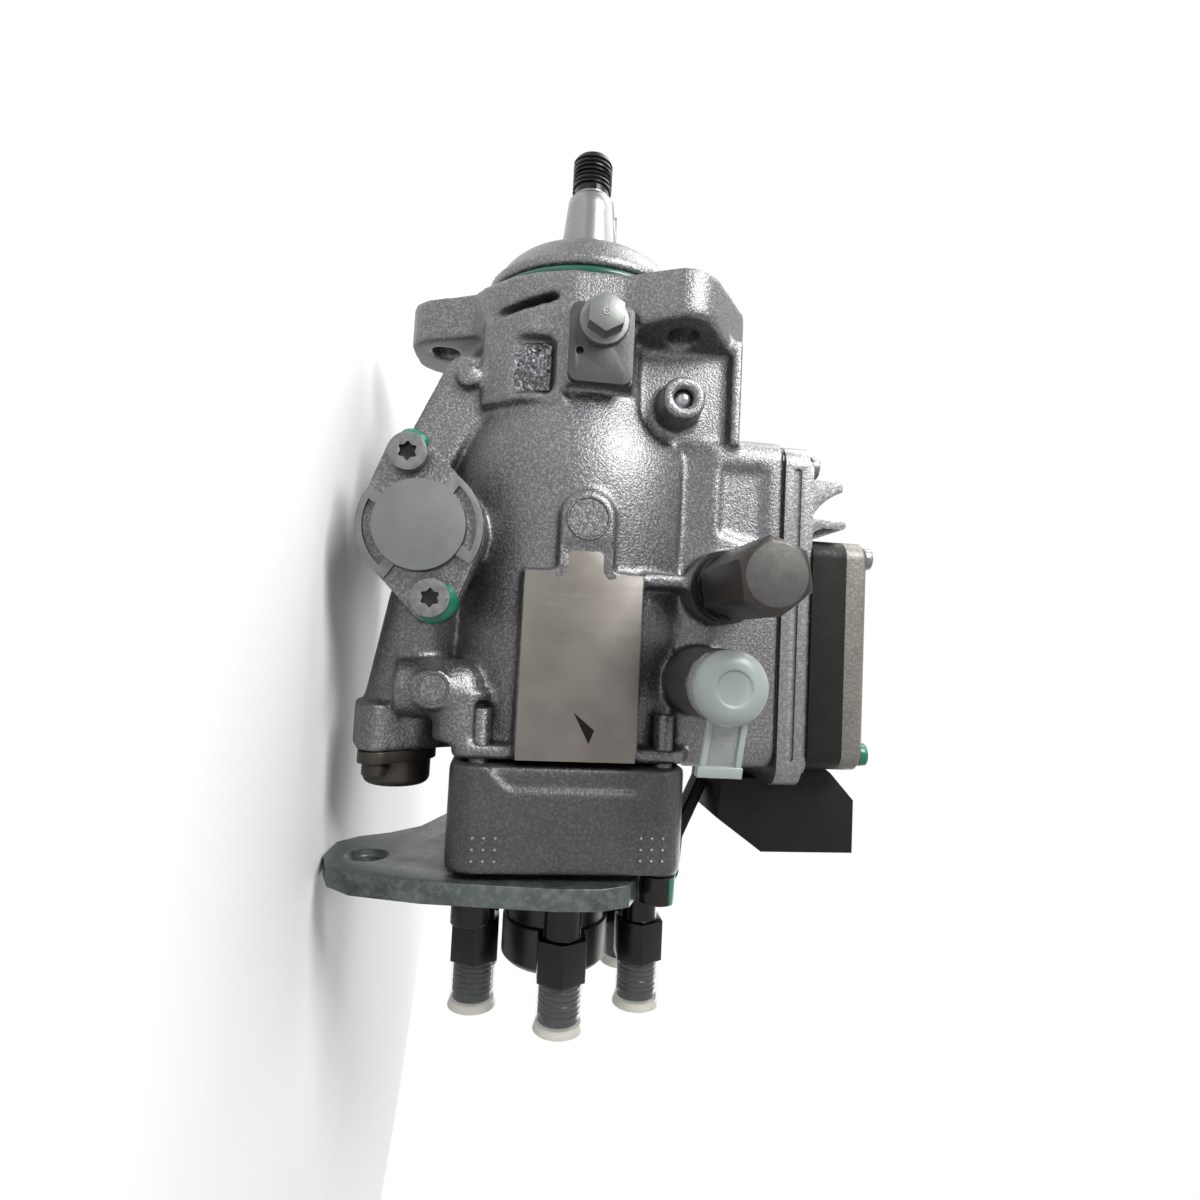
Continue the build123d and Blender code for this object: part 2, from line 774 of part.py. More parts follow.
# Housing: one aluminium casting that carries everything
with BuildPart() as housing:
    # upper ear, thicker at its root than at its edge
    with BuildSketch(across(0)):
        Circle(ear_root_r)
        with Locations(bolt_centres[1], crown_centre):
            Circle(ear_r)
        make_hull()
    extrude(amount=flange_thickness + ear_root_run)
    with BuildSketch(Plane.XY) as ear_slope:
        with BuildLine():
            Polyline(
                (flange_thickness, ear_edge_y),
                (flange_thickness + ear_root_run, -bore_r),
                (flange_thickness + ear_root_run + cut_margin, -bore_r),
                (flange_thickness + ear_root_run + cut_margin, ear_edge_y - cut_margin),
                (flange_thickness, ear_edge_y - cut_margin),
                close=True,
            )
        make_face()
    extrude(ear_slope.sketch, amount=crown_centre[1] + ear_r + cut_margin, mode=Mode.SUBTRACT)
    with BuildSketch(across(flange_thickness)):
        with Locations((0, ear_root_low_z - ear_root_r)):
            Rectangle(2 * bolt_circle_r + 2 * ear_r, 2 * ear_root_r)
    extrude(amount=ear_root_run, mode=Mode.SUBTRACT)

    # barrel that swells from the waist behind the flange and narrows to the head
    with BuildSketch(Plane.XY):
        with BuildLine():
            Spline(
                (flange_thickness - root_overlap, waist_r),
                (0.5 * (flange_thickness + barrel_front_x), waist_r),
                (barrel_front_x, barrel_r - barrel_swell),
                (timing_x, barrel_r),
                (body_length, barrel_rear_r),
                tangents=((1, 0), (1, -0.1)),
            )
            Polyline(
                (body_length, barrel_rear_r),
                (body_length, 0),
                (flange_thickness - root_overlap, 0),
                (flange_thickness - root_overlap, waist_r),
            )
        make_face()
    revolve(axis=Axis.X)

    # pilot, cone and nose dome
    with BuildSketch(Plane.XY):
        with BuildLine():
            Polyline(
                (0, 0),
                (0, pilot_r),
                (-groove_front, pilot_r),
                (-groove_front, pilot_r - 2 * ring_section_r),
                (-groove_front - 2 * ring_section_r, pilot_r - 2 * ring_section_r),
                (-groove_front - 2 * ring_section_r, pilot_r),
                (-pilot_length, pilot_r),
                (-pilot_length, pilot_r - rim_chamfer),
                (cone_end_x, cone_end_r),
            )
            RadiusArc((cone_end_x, cone_end_r), (nose_front_x, nose_front_r), -nose_dome_r)
            Polyline((nose_front_x, nose_front_r), (nose_front_x, 0), (0, 0))
        make_face()
    revolve(axis=Axis.X)

    # flange with its three bolt ears, the wide foot below and the crown towards the control unit
    for lobes in (
        [(bolt_centres[0], ear_r)],
        [(bolt_centres[1], ear_r), (crown_centre, ear_r)],
        [(bolt_centres[2], ear_r), (foot_centre, ear_r)],
    ):
        with BuildSketch(across(0)):
            Circle(ear_root_r)
            for centre, r in lobes:
                with Locations(centre):
                    Circle(r)
            make_hull()
        extrude(amount=flange_thickness)
    with BuildSketch(across(0)):
        Circle(flange_r)
    extrude(amount=flange_thickness)

    # crown wall from the upper ear back to the control unit's seat
    with BuildSketch(across(flange_thickness)):
        with Locations(crown_centre):
            Circle(ear_r)
        with Locations(crown_far_centre):
            Circle(ear_r)
        with Locations((0, crown_root_rise)):
            Rectangle(crown_root_width, crown_root_depth)
        make_hull()
    extrude(amount=unit_front_x - flange_thickness + crown_overlap)

    # seat for the control unit
    with BuildSketch(Plane.XY.offset(unit_root_z)):
        with Locations((unit_mid_x, unit_mid_y)):
            RectangleRounded(unit_rear_x - unit_front_x, unit_far - unit_near, seat_corner_r)
    extrude(amount=unit_root_depth)

    with BuildSketch(across(unit_front_x)):
        with BuildLine():
            Polyline(
                (unit_near + seat_slope_run, seat_slope_low_z),
                (unit_near, seat_slope_high_z),
                (unit_near - cut_margin, seat_slope_high_z),
                (unit_near - cut_margin, seat_slope_low_z),
                close=True,
            )
        make_face()
    extrude(amount=unit_rear_x - unit_front_x, mode=Mode.SUBTRACT)

    # flat floor behind the upper ear, with a rim along its outer side
    with BuildSketch(near(-bore_r)):
        with Locations((floor_mid_x, 0.5 * (ball_recess_low_z + floor_rim_top_z))):
            Rectangle(floor_rear_x - flange_thickness, floor_rim_top_z - ball_recess_low_z)
    extrude(amount=-floor_depth)
    with BuildSketch(near(-bore_r - floor_rim_rise)):
        with Locations((floor_mid_x, 0.5 * (floor_rim_z + floor_rim_top_z))):
            Rectangle(floor_rear_x - flange_thickness, floor_rim_top_z - floor_rim_z)
    extrude(amount=-floor_depth)

    # rear lip that the head bolts to
    with BuildSketch(across(body_length - lip_thickness)):
        with Locations((0, 0.5 * (lip_top + head_low))):
            RectangleRounded(2 * barrel_rear_r, lip_top - head_low, lip_corner_r)
    extrude(amount=lip_thickness)
    with BuildSketch(across(body_length)):
        Circle(bore_r + rim_wall)
    extrude(amount=rim_length)

    # lock screw block and the frame round the cast pocket
    with BuildSketch(near(lock_pad_y)):
        with Locations((0.5 * lock_block_rear_x, lock_z)):
            Rectangle(lock_block_rear_x, lock_block_height)
    extrude(amount=-block_depth)
    with BuildSketch(across(flange_thickness - root_overlap)):
        with BuildLine():
            Polyline(
                (frame_near_y, frame_high_z),
                (frame_near_y + frame_bend_drop, frame_bend_z),
                (frame_near_y + frame_low_drop, frame_low_z),
                (frame_near_y + frame_depth, frame_low_z),
                (frame_near_y + frame_depth, frame_high_z),
                close=True,
            )
        make_face()
    extrude(amount=frame_rear_x - flange_thickness + root_overlap)

    # round boss and the web that runs from it to the timing casting
    with BuildSketch(near(web_boss_near_y)):
        with Locations(web_boss):
            Circle(web_boss_r)
        with Locations(timing_screw_centres[0]):
            Circle(timing_lug_r + lug_wall)
        make_hull()
    extrude(amount=-web_boss_depth)
    with BuildSketch(near(web_boss_near_y)):
        with Locations(web_boss):
            Circle(web_step_r)
    extrude(amount=web_step_height)

    # timing casting: a cross bore with a diamond seat at each end
    with BuildSketch(near(-timing_half_length)):
        with Locations((timing_x, timing_z)):
            Circle(timing_casting_r)
    extrude(amount=-2 * timing_half_length)
    for side in (-1, 1):
        with BuildSketch(near(side * timing_half_length)):
            diamond(timing_flange_r + seat_margin, timing_lug_r + seat_margin)
        extrude(amount=side * timing_flange_thickness)

    # lobe that carries the timing valve, and the duct that bends into the housing beside it
    with BuildSketch(across(timing_x + lobe_setback)):
        with Locations((lobe_y, timing_z)):
            Circle(lobe_start_r)
    with BuildSketch(across(body_length)):
        with Locations((valve_y, valve_z)):
            Circle(valve_r + valve_wall)
    loft()
    with BuildSketch(across(body_length - valve_seat_depth)):
        with Locations((valve_y, valve_z)):
            Circle(valve_r + valve_wall)
        with Locations((valve_screw_y, valve_screw_z)):
            Circle(valve_screw_wall)
        with Locations((0, -bore_r + root_overlap)):
            Rectangle(2 * valve_seat_depth, 2 * root_overlap)
        make_hull()
    extrude(amount=valve_seat_depth)
    with BuildSketch(Plane.XY.offset(duct_low_z)):
        with Locations((duct_x, duct_y)):
            Circle(duct_r)
    extrude(amount=duct_bend_z - duct_low_z)
    with BuildSketch(across(duct_x)):
        with Locations((duct_y, duct_arm_z)):
            Circle(duct_arm_r)
    extrude(amount=duct_setback - duct_end_gap)
    with Locations((duct_x, duct_y, duct_bend_z)):
        Sphere(duct_r)
    with BuildSketch(near(duct_plug_y)):
        with Locations((duct_x, duct_plug_z)):
            Circle(duct_plug_r)
    extrude(amount=-duct_plug_r)

    # milled pad, its tab and the round boss above it
    with BuildSketch(near(-pad_y)):
        with Locations((0.5 * (pad_front_x + pad_rear_x), 0.5 * (pad_low + pad_high))):
            RectangleRounded(pad_rear_x - pad_front_x, pad_high - pad_low, pad_corner_r)
        with Locations((pad_front_x, 0)):
            Rectangle(2 * pad_tab_length, 2 * pad_tab_half_width)
    extrude(amount=-pad_depth)
    with BuildSketch(near(-pad_y - pad_boss_stand)):
        with Locations((pad_boss_x, 0)):
            Circle(pad_boss_r)
        with Locations((0.5 * (pad_boss_x + pad_front_x), 0)):
            Rectangle(pad_front_x - pad_boss_x, 2 * pad_boss_r)
    extrude(amount=-pad_depth)

    with BuildSketch(near(-pad_y)):
        with Locations((pad_front_x - 0.5 * pad_tab_length, 0)):
            Rectangle(pad_tab_length, 2 * pad_tab_half_width)
    extrude(amount=pad_boss_stand + cut_margin, mode=Mode.SUBTRACT)

    # rib from the pad's corner to the overflow valve
    with BuildSketch(near(-pad_y + pad_rib_drop)):
        with Locations((pad_rib_x, 0.5 * (pad_high + overflow_z))):
            Rectangle(pad_rib_thickness, overflow_z - pad_high)
    extrude(amount=-boss_depth)

    # bosses for the overflow valve, the inlet and the ball plug
    with BuildSketch(near(overflow_boss_y)):
        with Locations((overflow_x, overflow_z)):
            Circle(overflow_boss_r)
    extrude(amount=-boss_depth)
    with BuildSketch(near(inlet_boss_y)):
        with Locations((inlet_x, inlet_z)):
            Circle(inlet_boss_r)
    extrude(amount=-inlet_boss_depth)

    # round recess behind the upper ear, with the ball boss standing in it
    with BuildSketch(near(-bore_r)):
        with Locations((ball_x, ball_z)):
            Circle(ball_recess_r)
        with Locations((0.5 * (recess_front_x + ball_x), 0.5 * (ball_recess_low_z + floor_rim_z))):
            Rectangle(ball_x - recess_front_x, floor_rim_z - ball_recess_low_z)
    extrude(amount=boss_depth, mode=Mode.SUBTRACT)
    with BuildSketch(near(ball_boss_y)):
        with Locations((ball_x, ball_z)):
            Circle(ball_boss_r)
    extrude(amount=-boss_depth)

    # cast pocket, the slot across the lower ear and the panel on the control unit's seat
    with BuildSketch(near(-waist_r - frame_rise)):
        with Locations((0.5 * (pocket_front_x + pocket_rear_x), 0.5 * (pocket_low_z + pocket_high_z))):
            RectangleRounded(pocket_rear_x - pocket_front_x, pocket_high_z - pocket_low_z, pocket_corner_r)
    extrude(amount=-waist_r - frame_rise + bore_r + pocket_floor, mode=Mode.SUBTRACT)
    with BuildSketch(near(-flange_r)):
        with Locations(Location((ear_slot_x, ear_slot_z, 0), (0, 0, 90 + ear_slot_tilt))):
            SlotOverall(ear_slot_length, ear_slot_width)
    extrude(amount=-ear_slot_depth, mode=Mode.SUBTRACT)
    with BuildSketch(near(unit_near)):
        with Locations((seat_panel_x, 0.5 * (seat_panel_low_z + seat_panel_high_z))):
            RectangleRounded(seat_panel_length, seat_panel_width, seat_panel_corner_r)
        with Locations((overflow_x, overflow_z)):
            Circle(overflow_skirt_r, mode=Mode.SUBTRACT)
    extrude(amount=-seat_panel_depth, mode=Mode.SUBTRACT)

    # clearance in front of the head block, and the lock plate's machined seat
    with BuildSketch(across(head_front_x)):
        with Locations((0, 0.5 * (head_high + seat_relief))):
            Rectangle(2 * unit_far + 2 * seat_relief, head_high + seat_relief)
    extrude(amount=unit_overhang + slack, mode=Mode.SUBTRACT)
    with BuildSketch(near(lock_pad_y)):
        with Locations((lock_plate_x, lock_plate_z)):
            RectangleRounded(lock_plate_length + seat_relief, lock_plate_width + seat_relief, lock_corner_r)
    extrude(amount=lock_seat_depth, mode=Mode.SUBTRACT)

    # bores along the shaft
    turned(
        [
            (nose_front_x - cut_margin, 0),
            (nose_front_x - cut_margin, seal_r),
            (seal_rear_x, seal_r),
            (seal_rear_x, journal_r + bush_lip),
            (bush_front_x, journal_r + bush_lip),
            (bush_front_x, bush_r),
            (bush_rear_x, bush_r),
            (bush_rear_x, journal_r + bush_lip),
            (bore_front_x, journal_r + bush_lip),
            (bore_front_x, bore_r),
            (head_front_x + cut_margin, bore_r),
            (head_front_x + cut_margin, 0),
        ],
        Mode.SUBTRACT,
    )

    # timing bore, and the slot that lets the advance pin swing
    with BuildSketch(near(-timing_half_length - cut_margin)):
        with Locations((timing_x, timing_z)):
            Circle(timing_bore_r)
    extrude(amount=-2 * timing_half_length - 2 * cut_margin, mode=Mode.SUBTRACT)
    with BuildSketch(Plane.XY.offset(-bore_r + root_overlap)):
        with Locations((timing_x, 0)):
            SlotCenterToCenter(advance_slot_length, 2 * timing_pin_hole_r, rotation=90)
    extrude(amount=timing_z + bore_r - root_overlap, mode=Mode.SUBTRACT)

    # bolt holes through the ears
    with BuildSketch(across(-cut_margin)):
        with Locations(*bolt_centres):
            Circle(bolt_hole_r)
    extrude(amount=cut_margin + flange_thickness + bolt_access, mode=Mode.SUBTRACT)

    # screw holes on the near side, the ports and the ball plug's seat
    for side in (-1, 1):
        with BuildSketch(near(side * timing_half_length)):
            with Locations(*timing_screw_centres):
                Circle(screw_r)
        extrude(amount=side * timing_screw_depth, mode=Mode.SUBTRACT)
    with BuildSketch(near(lock_pad_y)):
        with Locations((lock_x, lock_z)):
            Circle(screw_r)
    extrude(amount=-lock_screw_depth, mode=Mode.SUBTRACT)
    with BuildSketch(near(overflow_boss_y)):
        with Locations((overflow_x, overflow_z)):
            Circle(overflow_thread_r)
    extrude(amount=-overflow_thread_length - root_overlap, mode=Mode.SUBTRACT)
    with BuildSketch(near(inlet_boss_y)):
        with Locations((inlet_x, inlet_z)):
            Circle(inlet_hole_r)
    extrude(amount=-inlet_hole_depth, mode=Mode.SUBTRACT)
    with BuildSketch(near(ball_boss_y)):
        with Locations((ball_x, ball_z)):
            Circle(ball_r)
    extrude(amount=-ball_recess - 2 * ball_r - slack, mode=Mode.SUBTRACT)

    # timing valve's stem and screw, the head screws and the control unit's screws
    with BuildSketch(across(body_length)):
        with Locations((valve_y, valve_z)):
            Circle(valve_stem_r)
    extrude(amount=-valve_stem_length, mode=Mode.SUBTRACT)
    with BuildSketch(across(body_length)):
        with Locations((valve_screw_y, valve_screw_z)):
            Circle(small_screw_r)
    extrude(amount=-small_screw_depth, mode=Mode.SUBTRACT)
    with BuildSketch(across(body_length)):
        with Locations(*head_screw_centres):
            Circle(head_screw_r)
    extrude(amount=-head_screw_depth, mode=Mode.SUBTRACT)
    with BuildSketch(Plane.XY.offset(unit_seat_z)):
        with Locations(*base_screw_centres):
            Circle(small_screw_r)
    extrude(amount=-small_screw_depth, mode=Mode.SUBTRACT)
save(housing.part, "housing")

with BuildPart() as pilot_o_ring:
    with BuildSketch(Plane.XY):
        with Locations((-groove_front - ring_section_r, pilot_r - ring_section_r)):
            Circle(ring_section_r)
    revolve(axis=Axis.X)
save(pilot_o_ring.part, "pilot_o_ring")

with BuildPart() as shaft_seal:
    turned(
        [
            (seal_front_x, seal_r),
            (seal_front_x, journal_r + seal_lip_rise),
            (seal_front_x + seal_lip_length, journal_r + running),
            (seal_rear_x - seal_rear_length, journal_r + running),
            (seal_rear_x - seal_rear_length, journal_r + seal_lip_rise),
            (seal_rear_x, journal_r + seal_lip_rise),
            (seal_rear_x, seal_r),
        ]
    )
save(shaft_seal.part, "shaft_seal")

with BuildPart() as front_bush:
    turned(
        [
            (bush_front_x, journal_r + running),
            (bush_rear_x, journal_r + running),
            (bush_rear_x, bush_r),
            (bush_front_x, bush_r),
        ]
    )
save(front_bush.part, "front_bush")

# Drive shaft: thread, 1:5 taper, journal, and the claws that drive the cross disc
with BuildPart() as drive_shaft:
    turned(
        [
            (shaft_tip_x, 0),
            (shaft_tip_x, thread_r - shaft_chamfer),
            (shaft_tip_x + shaft_chamfer, thread_r),
            (thread_end_x, thread_r),
            (thread_end_x, neck_r),
            (taper_start_x, neck_r),
            (taper_start_x, taper_small_r - taper_chamfer),
            (taper_start_x + taper_chamfer_length, taper_small_r),
            (taper_end_x, taper_large_r),
            (shoulder_x - shoulder_chamfer, journal_r - shoulder_chamfer),
            (shoulder_x, journal_r),
            (yoke_x, journal_r),
            (yoke_x, claw_outer_r),
            (claw_front_x, claw_outer_r),
            (claw_front_x, 0),
        ]
    )
    with BuildSketch(across(claw_front_x)):
        Circle(claw_outer_r)
        Circle(cam_claw_inner_r + claw_inner_gap, mode=Mode.SUBTRACT)
        Rectangle(2 * claw_outer_r, claw_width, mode=Mode.INTERSECT)
    extrude(amount=claw_length)
    with BuildSketch(Plane.XY.offset(taper_small_r - key_slot_depth)):
        with Locations((key_x, 0)):
            SlotOverall(key_length, key_width)
    extrude(amount=key_height, mode=Mode.SUBTRACT)
save(drive_shaft.part, "drive_shaft")

with BuildPart() as shaft_key:
    with BuildSketch(Plane.XY.offset(taper_small_r - key_slot_depth)):
        with Locations((key_x, 0)):
            SlotOverall(key_length, key_width)
    extrude(amount=key_height - key_top_gap)
save(shaft_key.part, "shaft_key")

# Vane pump: eccentric ring, rotor, vanes and the plate that closes it
with BuildPart() as vane_ring:
    with BuildSketch(across(bore_front_x)):
        Circle(bore_r)
        with Locations((0, vane_ring_offset)):
            Circle(vane_ring_bore_r, mode=Mode.SUBTRACT)
    extrude(amount=vane_ring_length)
save(vane_ring.part, "vane_ring")

with BuildPart() as vane_rotor:
    with BuildSketch(across(bore_front_x + sliding)):
        Circle(vane_rotor_r)
        Circle(journal_r, mode=Mode.SUBTRACT)
        with PolarLocations(vane_rotor_r, vane_count):
            Rectangle(2 * vane_slot_depth, vane_thickness, mode=Mode.SUBTRACT)
    extrude(amount=vane_ring_length - 2 * sliding)
save(vane_rotor.part, "vane_rotor")

with BuildPart() as vanes:
    with BuildSketch(across(bore_front_x + sliding)):
        with PolarLocations(vane_tip_r - 0.5 * vane_length, vane_count):
            Rectangle(vane_length, vane_thickness)
    extrude(amount=vane_ring_length - 2 * sliding)
save(vanes.part, "vanes")

with BuildPart() as vane_plate:
    with BuildSketch(across(vane_ring_rear_x)):
        Circle(bore_r)
        Circle(journal_r + free, mode=Mode.SUBTRACT)
        with PolarLocations(0.5 * (bore_r + journal_r), 2, start_angle=vane_port_angle):
            Circle(vane_port_r, mode=Mode.SUBTRACT)
    extrude(amount=vane_plate_thickness)
save(vane_plate.part, "vane_plate")

# Trigger wheel on the shaft and the angle sensor that turns with the roller ring
with BuildPart() as trigger_wheel:
    with BuildSketch(across(wheel_x)):
        Circle(wheel_r)
        Circle(journal_r, mode=Mode.SUBTRACT)
        with PolarLocations(wheel_r, wheel_teeth):
            Rectangle(2 * tooth_gap_depth, tooth_gap_width, mode=Mode.SUBTRACT)
    extrude(amount=wheel_thickness)
save(trigger_wheel.part, "trigger_wheel")

with BuildPart() as angle_sensor:
    with BuildSketch(across(sensor_ring_x)):
        Circle(sensor_ring_outer_r)
        Circle(sensor_ring_inner_r, mode=Mode.SUBTRACT)
    extrude(amount=sensor_ring_thickness)
    with BuildSketch(across(wheel_x)):
        with Locations((0, 0.5 * (wheel_r + free + sensor_ring_outer_r))):
            Rectangle(sensor_head_length, sensor_ring_outer_r - wheel_r - free - sensor_head_margin)
    extrude(amount=sensor_ring_x - wheel_x)
    with BuildSketch(across(sensor_ring_x + sensor_ring_thickness)):
        Circle(sensor_ring_outer_r)
        Circle(sensor_ring_outer_r - sensor_leg_thickness, mode=Mode.SUBTRACT)
        Rectangle(2 * sensor_ring_outer_r, sensor_leg_width, mode=Mode.INTERSECT)
    extrude(amount=roller_ring_front_x - sensor_ring_x - sensor_ring_thickness)
save(angle_sensor.part, "angle_sensor")

# Cross disc between the shaft's claws and the cam plate's claws
with BuildPart() as cross_disc:
    with BuildSketch(across(disc_front_x)):
        Circle(claw_outer_r)
        Circle(disc_hole_r, mode=Mode.SUBTRACT)
        with Locations((shaft_slot_middle, 0), (-shaft_slot_middle, 0)):
            Rectangle(claw_outer_r - cam_claw_inner_r, claw_width + 2 * free, mode=Mode.SUBTRACT)
        with Locations((0, cam_slot_middle), (0, -cam_slot_middle)):
            Rectangle(claw_width + 2 * free, cam_slot_length, mode=Mode.SUBTRACT)
    extrude(amount=disc_thickness)
save(cross_disc.part, "cross_disc")

# Roller ring: six radial rollers on pins, turned a few degrees by the timing piston
with BuildPart() as roller_ring:
    with BuildSketch(across(roller_ring_front_x)):
        Circle(bore_r - sliding)
        Circle(roller_ring_inner_r, mode=Mode.SUBTRACT)
    extrude(amount=roller_ring_rear_x - roller_ring_front_x)
    with BuildSketch(across(roller_ring_rear_x)):
        with PolarLocations(0.5 * (roller_inner_r + roller_outer_r), roller_count):
            Rectangle(roller_outer_r - roller_inner_r + 2 * free, 2 * (roller_r + free))
    extrude(amount=-(roller_ring_rear_x - roller_x + roller_r + free), mode=Mode.SUBTRACT)
    for angle in roller_angles:
        with BuildSketch(Plane.XY.rotated((angle, 0, 0)).offset(roller_ring_inner_r - pin_overlap)):
            with Locations((roller_x, 0)):
                Circle(roller_pin_r)
        extrude(amount=roller_pin_length + pin_overlap, mode=Mode.SUBTRACT)
    with BuildSketch(Plane.XY.offset(-roller_ring_inner_r - advance_pin_inset)):
        with Locations((timing_x, 0)):
            Circle(timing_pin_r)
    extrude(amount=-bore_r, mode=Mode.SUBTRACT)
save(roller_ring.part, "roller_ring")

with BuildPart() as roller_pins:
    for angle in roller_angles:
        with BuildSketch(Plane.XY.rotated((angle, 0, 0)).offset(roller_ring_inner_r)):
            with Locations((roller_x, 0)):
                Circle(roller_pin_r)
        extrude(amount=roller_pin_length)
save(roller_pins.part, "roller_pins")

for number, angle in enumerate(roller_angles, start=1):
    with BuildPart() as roller:
        with BuildSketch(Plane.XY.rotated((angle, 0, 0)).offset(roller_inner_r)):
            with Locations((roller_x, 0)):
                Circle(roller_r)
                Circle(roller_pin_r + running, mode=Mode.SUBTRACT)
        extrude(amount=roller_outer_r - roller_inner_r)
    save(roller.part, f"roller_{number}")

with BuildPart() as advance_pin:
    with BuildSketch(Plane.XY.offset(-roller_ring_inner_r - advance_pin_inset)):
        with Locations((timing_x, 0)):
            Circle(timing_pin_r)
    extrude(amount=timing_z + roller_ring_inner_r - advance_pin_inset - timing_pin_margin)
save(advance_pin.part, "advance_pin")

# Cam plate: six rounded lobes on a plain track, driven by two claws through the roller ring
with BuildPart() as cam_plate:
    for angle in lobe_angles:
        with BuildSketch(Plane.XY.rotated((angle, 0, 0)).offset(cam_track_inner_r - track_margin)):
            with Locations((crest_x + lobe_r, 0)):
                Circle(lobe_r)
        extrude(amount=cam_track_outer_r - cam_track_inner_r + 2 * track_margin)
    with BuildSketch(across(crest_x - track_margin)):
        Circle(cam_track_outer_r)
        Circle(cam_track_inner_r, mode=Mode.SUBTRACT)
    extrude(amount=cam_lift + 2 * track_margin, mode=Mode.INTERSECT)
    with BuildSketch(across(valley_x)):
        Circle(cam_plate_r)
    extrude(amount=cam_plate_thickness)
    with BuildSketch(across(valley_x)):
        Circle(cam_claw_outer_r)
        Circle(cam_claw_inner_r, mode=Mode.SUBTRACT)
        Rectangle(claw_width, 2 * cam_claw_outer_r, mode=Mode.INTERSECT)
    extrude(amount=cam_claw_x - valley_x)
save(cam_plate.part, "cam_plate")

with BuildPart() as plunger:
    with BuildSketch(across(cam_rear_x)):
        Circle(foot_r)
    extrude(amount=foot_thickness)
    with BuildSketch(across(foot_rear_x)):
        Circle(plunger_r)
    extrude(amount=plunger_rear_x - foot_rear_x)
    with BuildSketch(across(plunger_rear_x)):
        Circle(passage_r)
    extrude(amount=-passage_depth, mode=Mode.SUBTRACT)
    with BuildSketch(Plane.XY.offset(plunger_r - groove_depth)):
        with Locations((port_x, 0)):
            Rectangle(groove_length, groove_width)
    extrude(amount=2 * groove_depth, mode=Mode.SUBTRACT)
save(plunger.part, "plunger")

with BuildPart() as spring_yoke:
    with BuildSketch(across(spring_yoke_x)):
        Circle(foot_r + yoke_ring_wall)
        with Locations((spring_radius, 0), (-spring_radius, 0)):
            Circle(yoke_end_r)
        make_hull()
        Circle(plunger_r + free, mode=Mode.SUBTRACT)
    extrude(amount=spring_yoke_thickness)
save(spring_yoke.part, "spring_yoke")

with BuildPart() as plunger_springs:
    for side in (-1, 1):
        with BuildLine():
            coil = Helix(
                pitch=plunger_spring_pitch,
                height=plunger_spring_pitch * spring_turns,
                radius=spring_coil_r,
                center=(spring_front_x + spring_wire_r + seat_gap, side * spring_radius, 0),
                direction=(1, 0, 0),
            )
        with BuildSketch(Plane(origin=coil @ 0, z_dir=coil % 0)):
            Circle(spring_wire_r)
        sweep(path=coil)
save(plunger_springs.part, "plunger_springs")

# Timing device: piston, its spring and a cover at each end of the cross bore
with BuildPart() as timing_piston:
    with BuildSketch(near(-timing_piston_half_length)):
        with Locations((timing_x, timing_z)):
            Circle(timing_bore_r - sliding)
    extrude(amount=-2 * timing_piston_half_length)
    with BuildSketch(near(-timing_piston_half_length)):
        with Locations((timing_x, timing_z)):
            Circle(piston_front_cup_r)
    extrude(amount=-piston_front_cup_depth, mode=Mode.SUBTRACT)
    with BuildSketch(near(timing_piston_half_length)):
        with Locations((timing_x, timing_z)):
            Circle(piston_spring_cup_r)
    extrude(amount=timing_cup_depth, mode=Mode.SUBTRACT)
    with BuildSketch(Plane.XY.offset(timing_z + timing_bore_r + cut_margin)):
        with Locations((timing_x, 0)):
            Circle(timing_pin_hole_r)
    extrude(amount=-timing_bore_r - cut_margin - pin_hole_reach, mode=Mode.SUBTRACT)
save(timing_piston.part, "timing_piston")

for side, name in ((-1, "timing_cover"), (1, "spring_cover")):
    with BuildPart() as cover:
        with BuildSketch(near(side * timing_half_length)):
            diamond(timing_flange_r, timing_lug_r)
        extrude(amount=-side * timing_cover_thickness)
        with BuildSketch(near(side * cover_near_y)):
            with Locations((timing_x, timing_z)):
                Circle(timing_boss_r)
        extrude(amount=-side * timing_boss_height, taper=timing_boss_taper)
        with BuildSketch(near(side * cover_near_y)):
            with Locations(Location((timing_x, timing_z, 0), (0, 0, timing_tilt))):
                Circle(timing_flange_r)
                Circle(timing_flange_r - timing_rim_width, mode=Mode.SUBTRACT)
                Rectangle(2 * timing_rim_half_span, 2 * timing_flange_r, mode=Mode.INTERSECT)
            with Locations(*timing_rib_places):
                Rectangle(timing_rib_length, timing_rib_width)
        extrude(amount=-side * timing_rib_height)
        with BuildSketch(near(side * timing_half_length)):
            with Locations((timing_x, timing_z)):
                Circle(timing_cup_r)
        extrude(amount=-side * timing_cup_depth, mode=Mode.SUBTRACT)
        with BuildSketch(near(side * timing_half_length)):
            with Locations(*timing_screw_centres):
                Circle(screw_r)
        extrude(amount=-side * timing_cover_thickness, mode=Mode.SUBTRACT)
    save(cover.part, name)

with BuildPart() as timing_spring:
    with BuildLine():
        coil = Helix(
            pitch=timing_spring_pitch,
            height=timing_spring_pitch * spring_turns,
            radius=timing_spring_r,
            center=(timing_x, timing_spring_start, timing_z),
            direction=(0, 1, 0),
        )
    with BuildSketch(Plane(origin=coil @ 0, z_dir=coil % 0)):
        Circle(spring_wire_r)
    sweep(path=coil)
save(timing_spring.part, "timing_spring")

with BuildPart() as timing_screws:
    for side in (-1, 1):
        screws(near(side * cover_near_y), timing_screw_centres, -side, screw_r, screw_length, screw_head_r,
               screw_head_height, screw_drive_r)
save(timing_screws.part, "timing_screws")

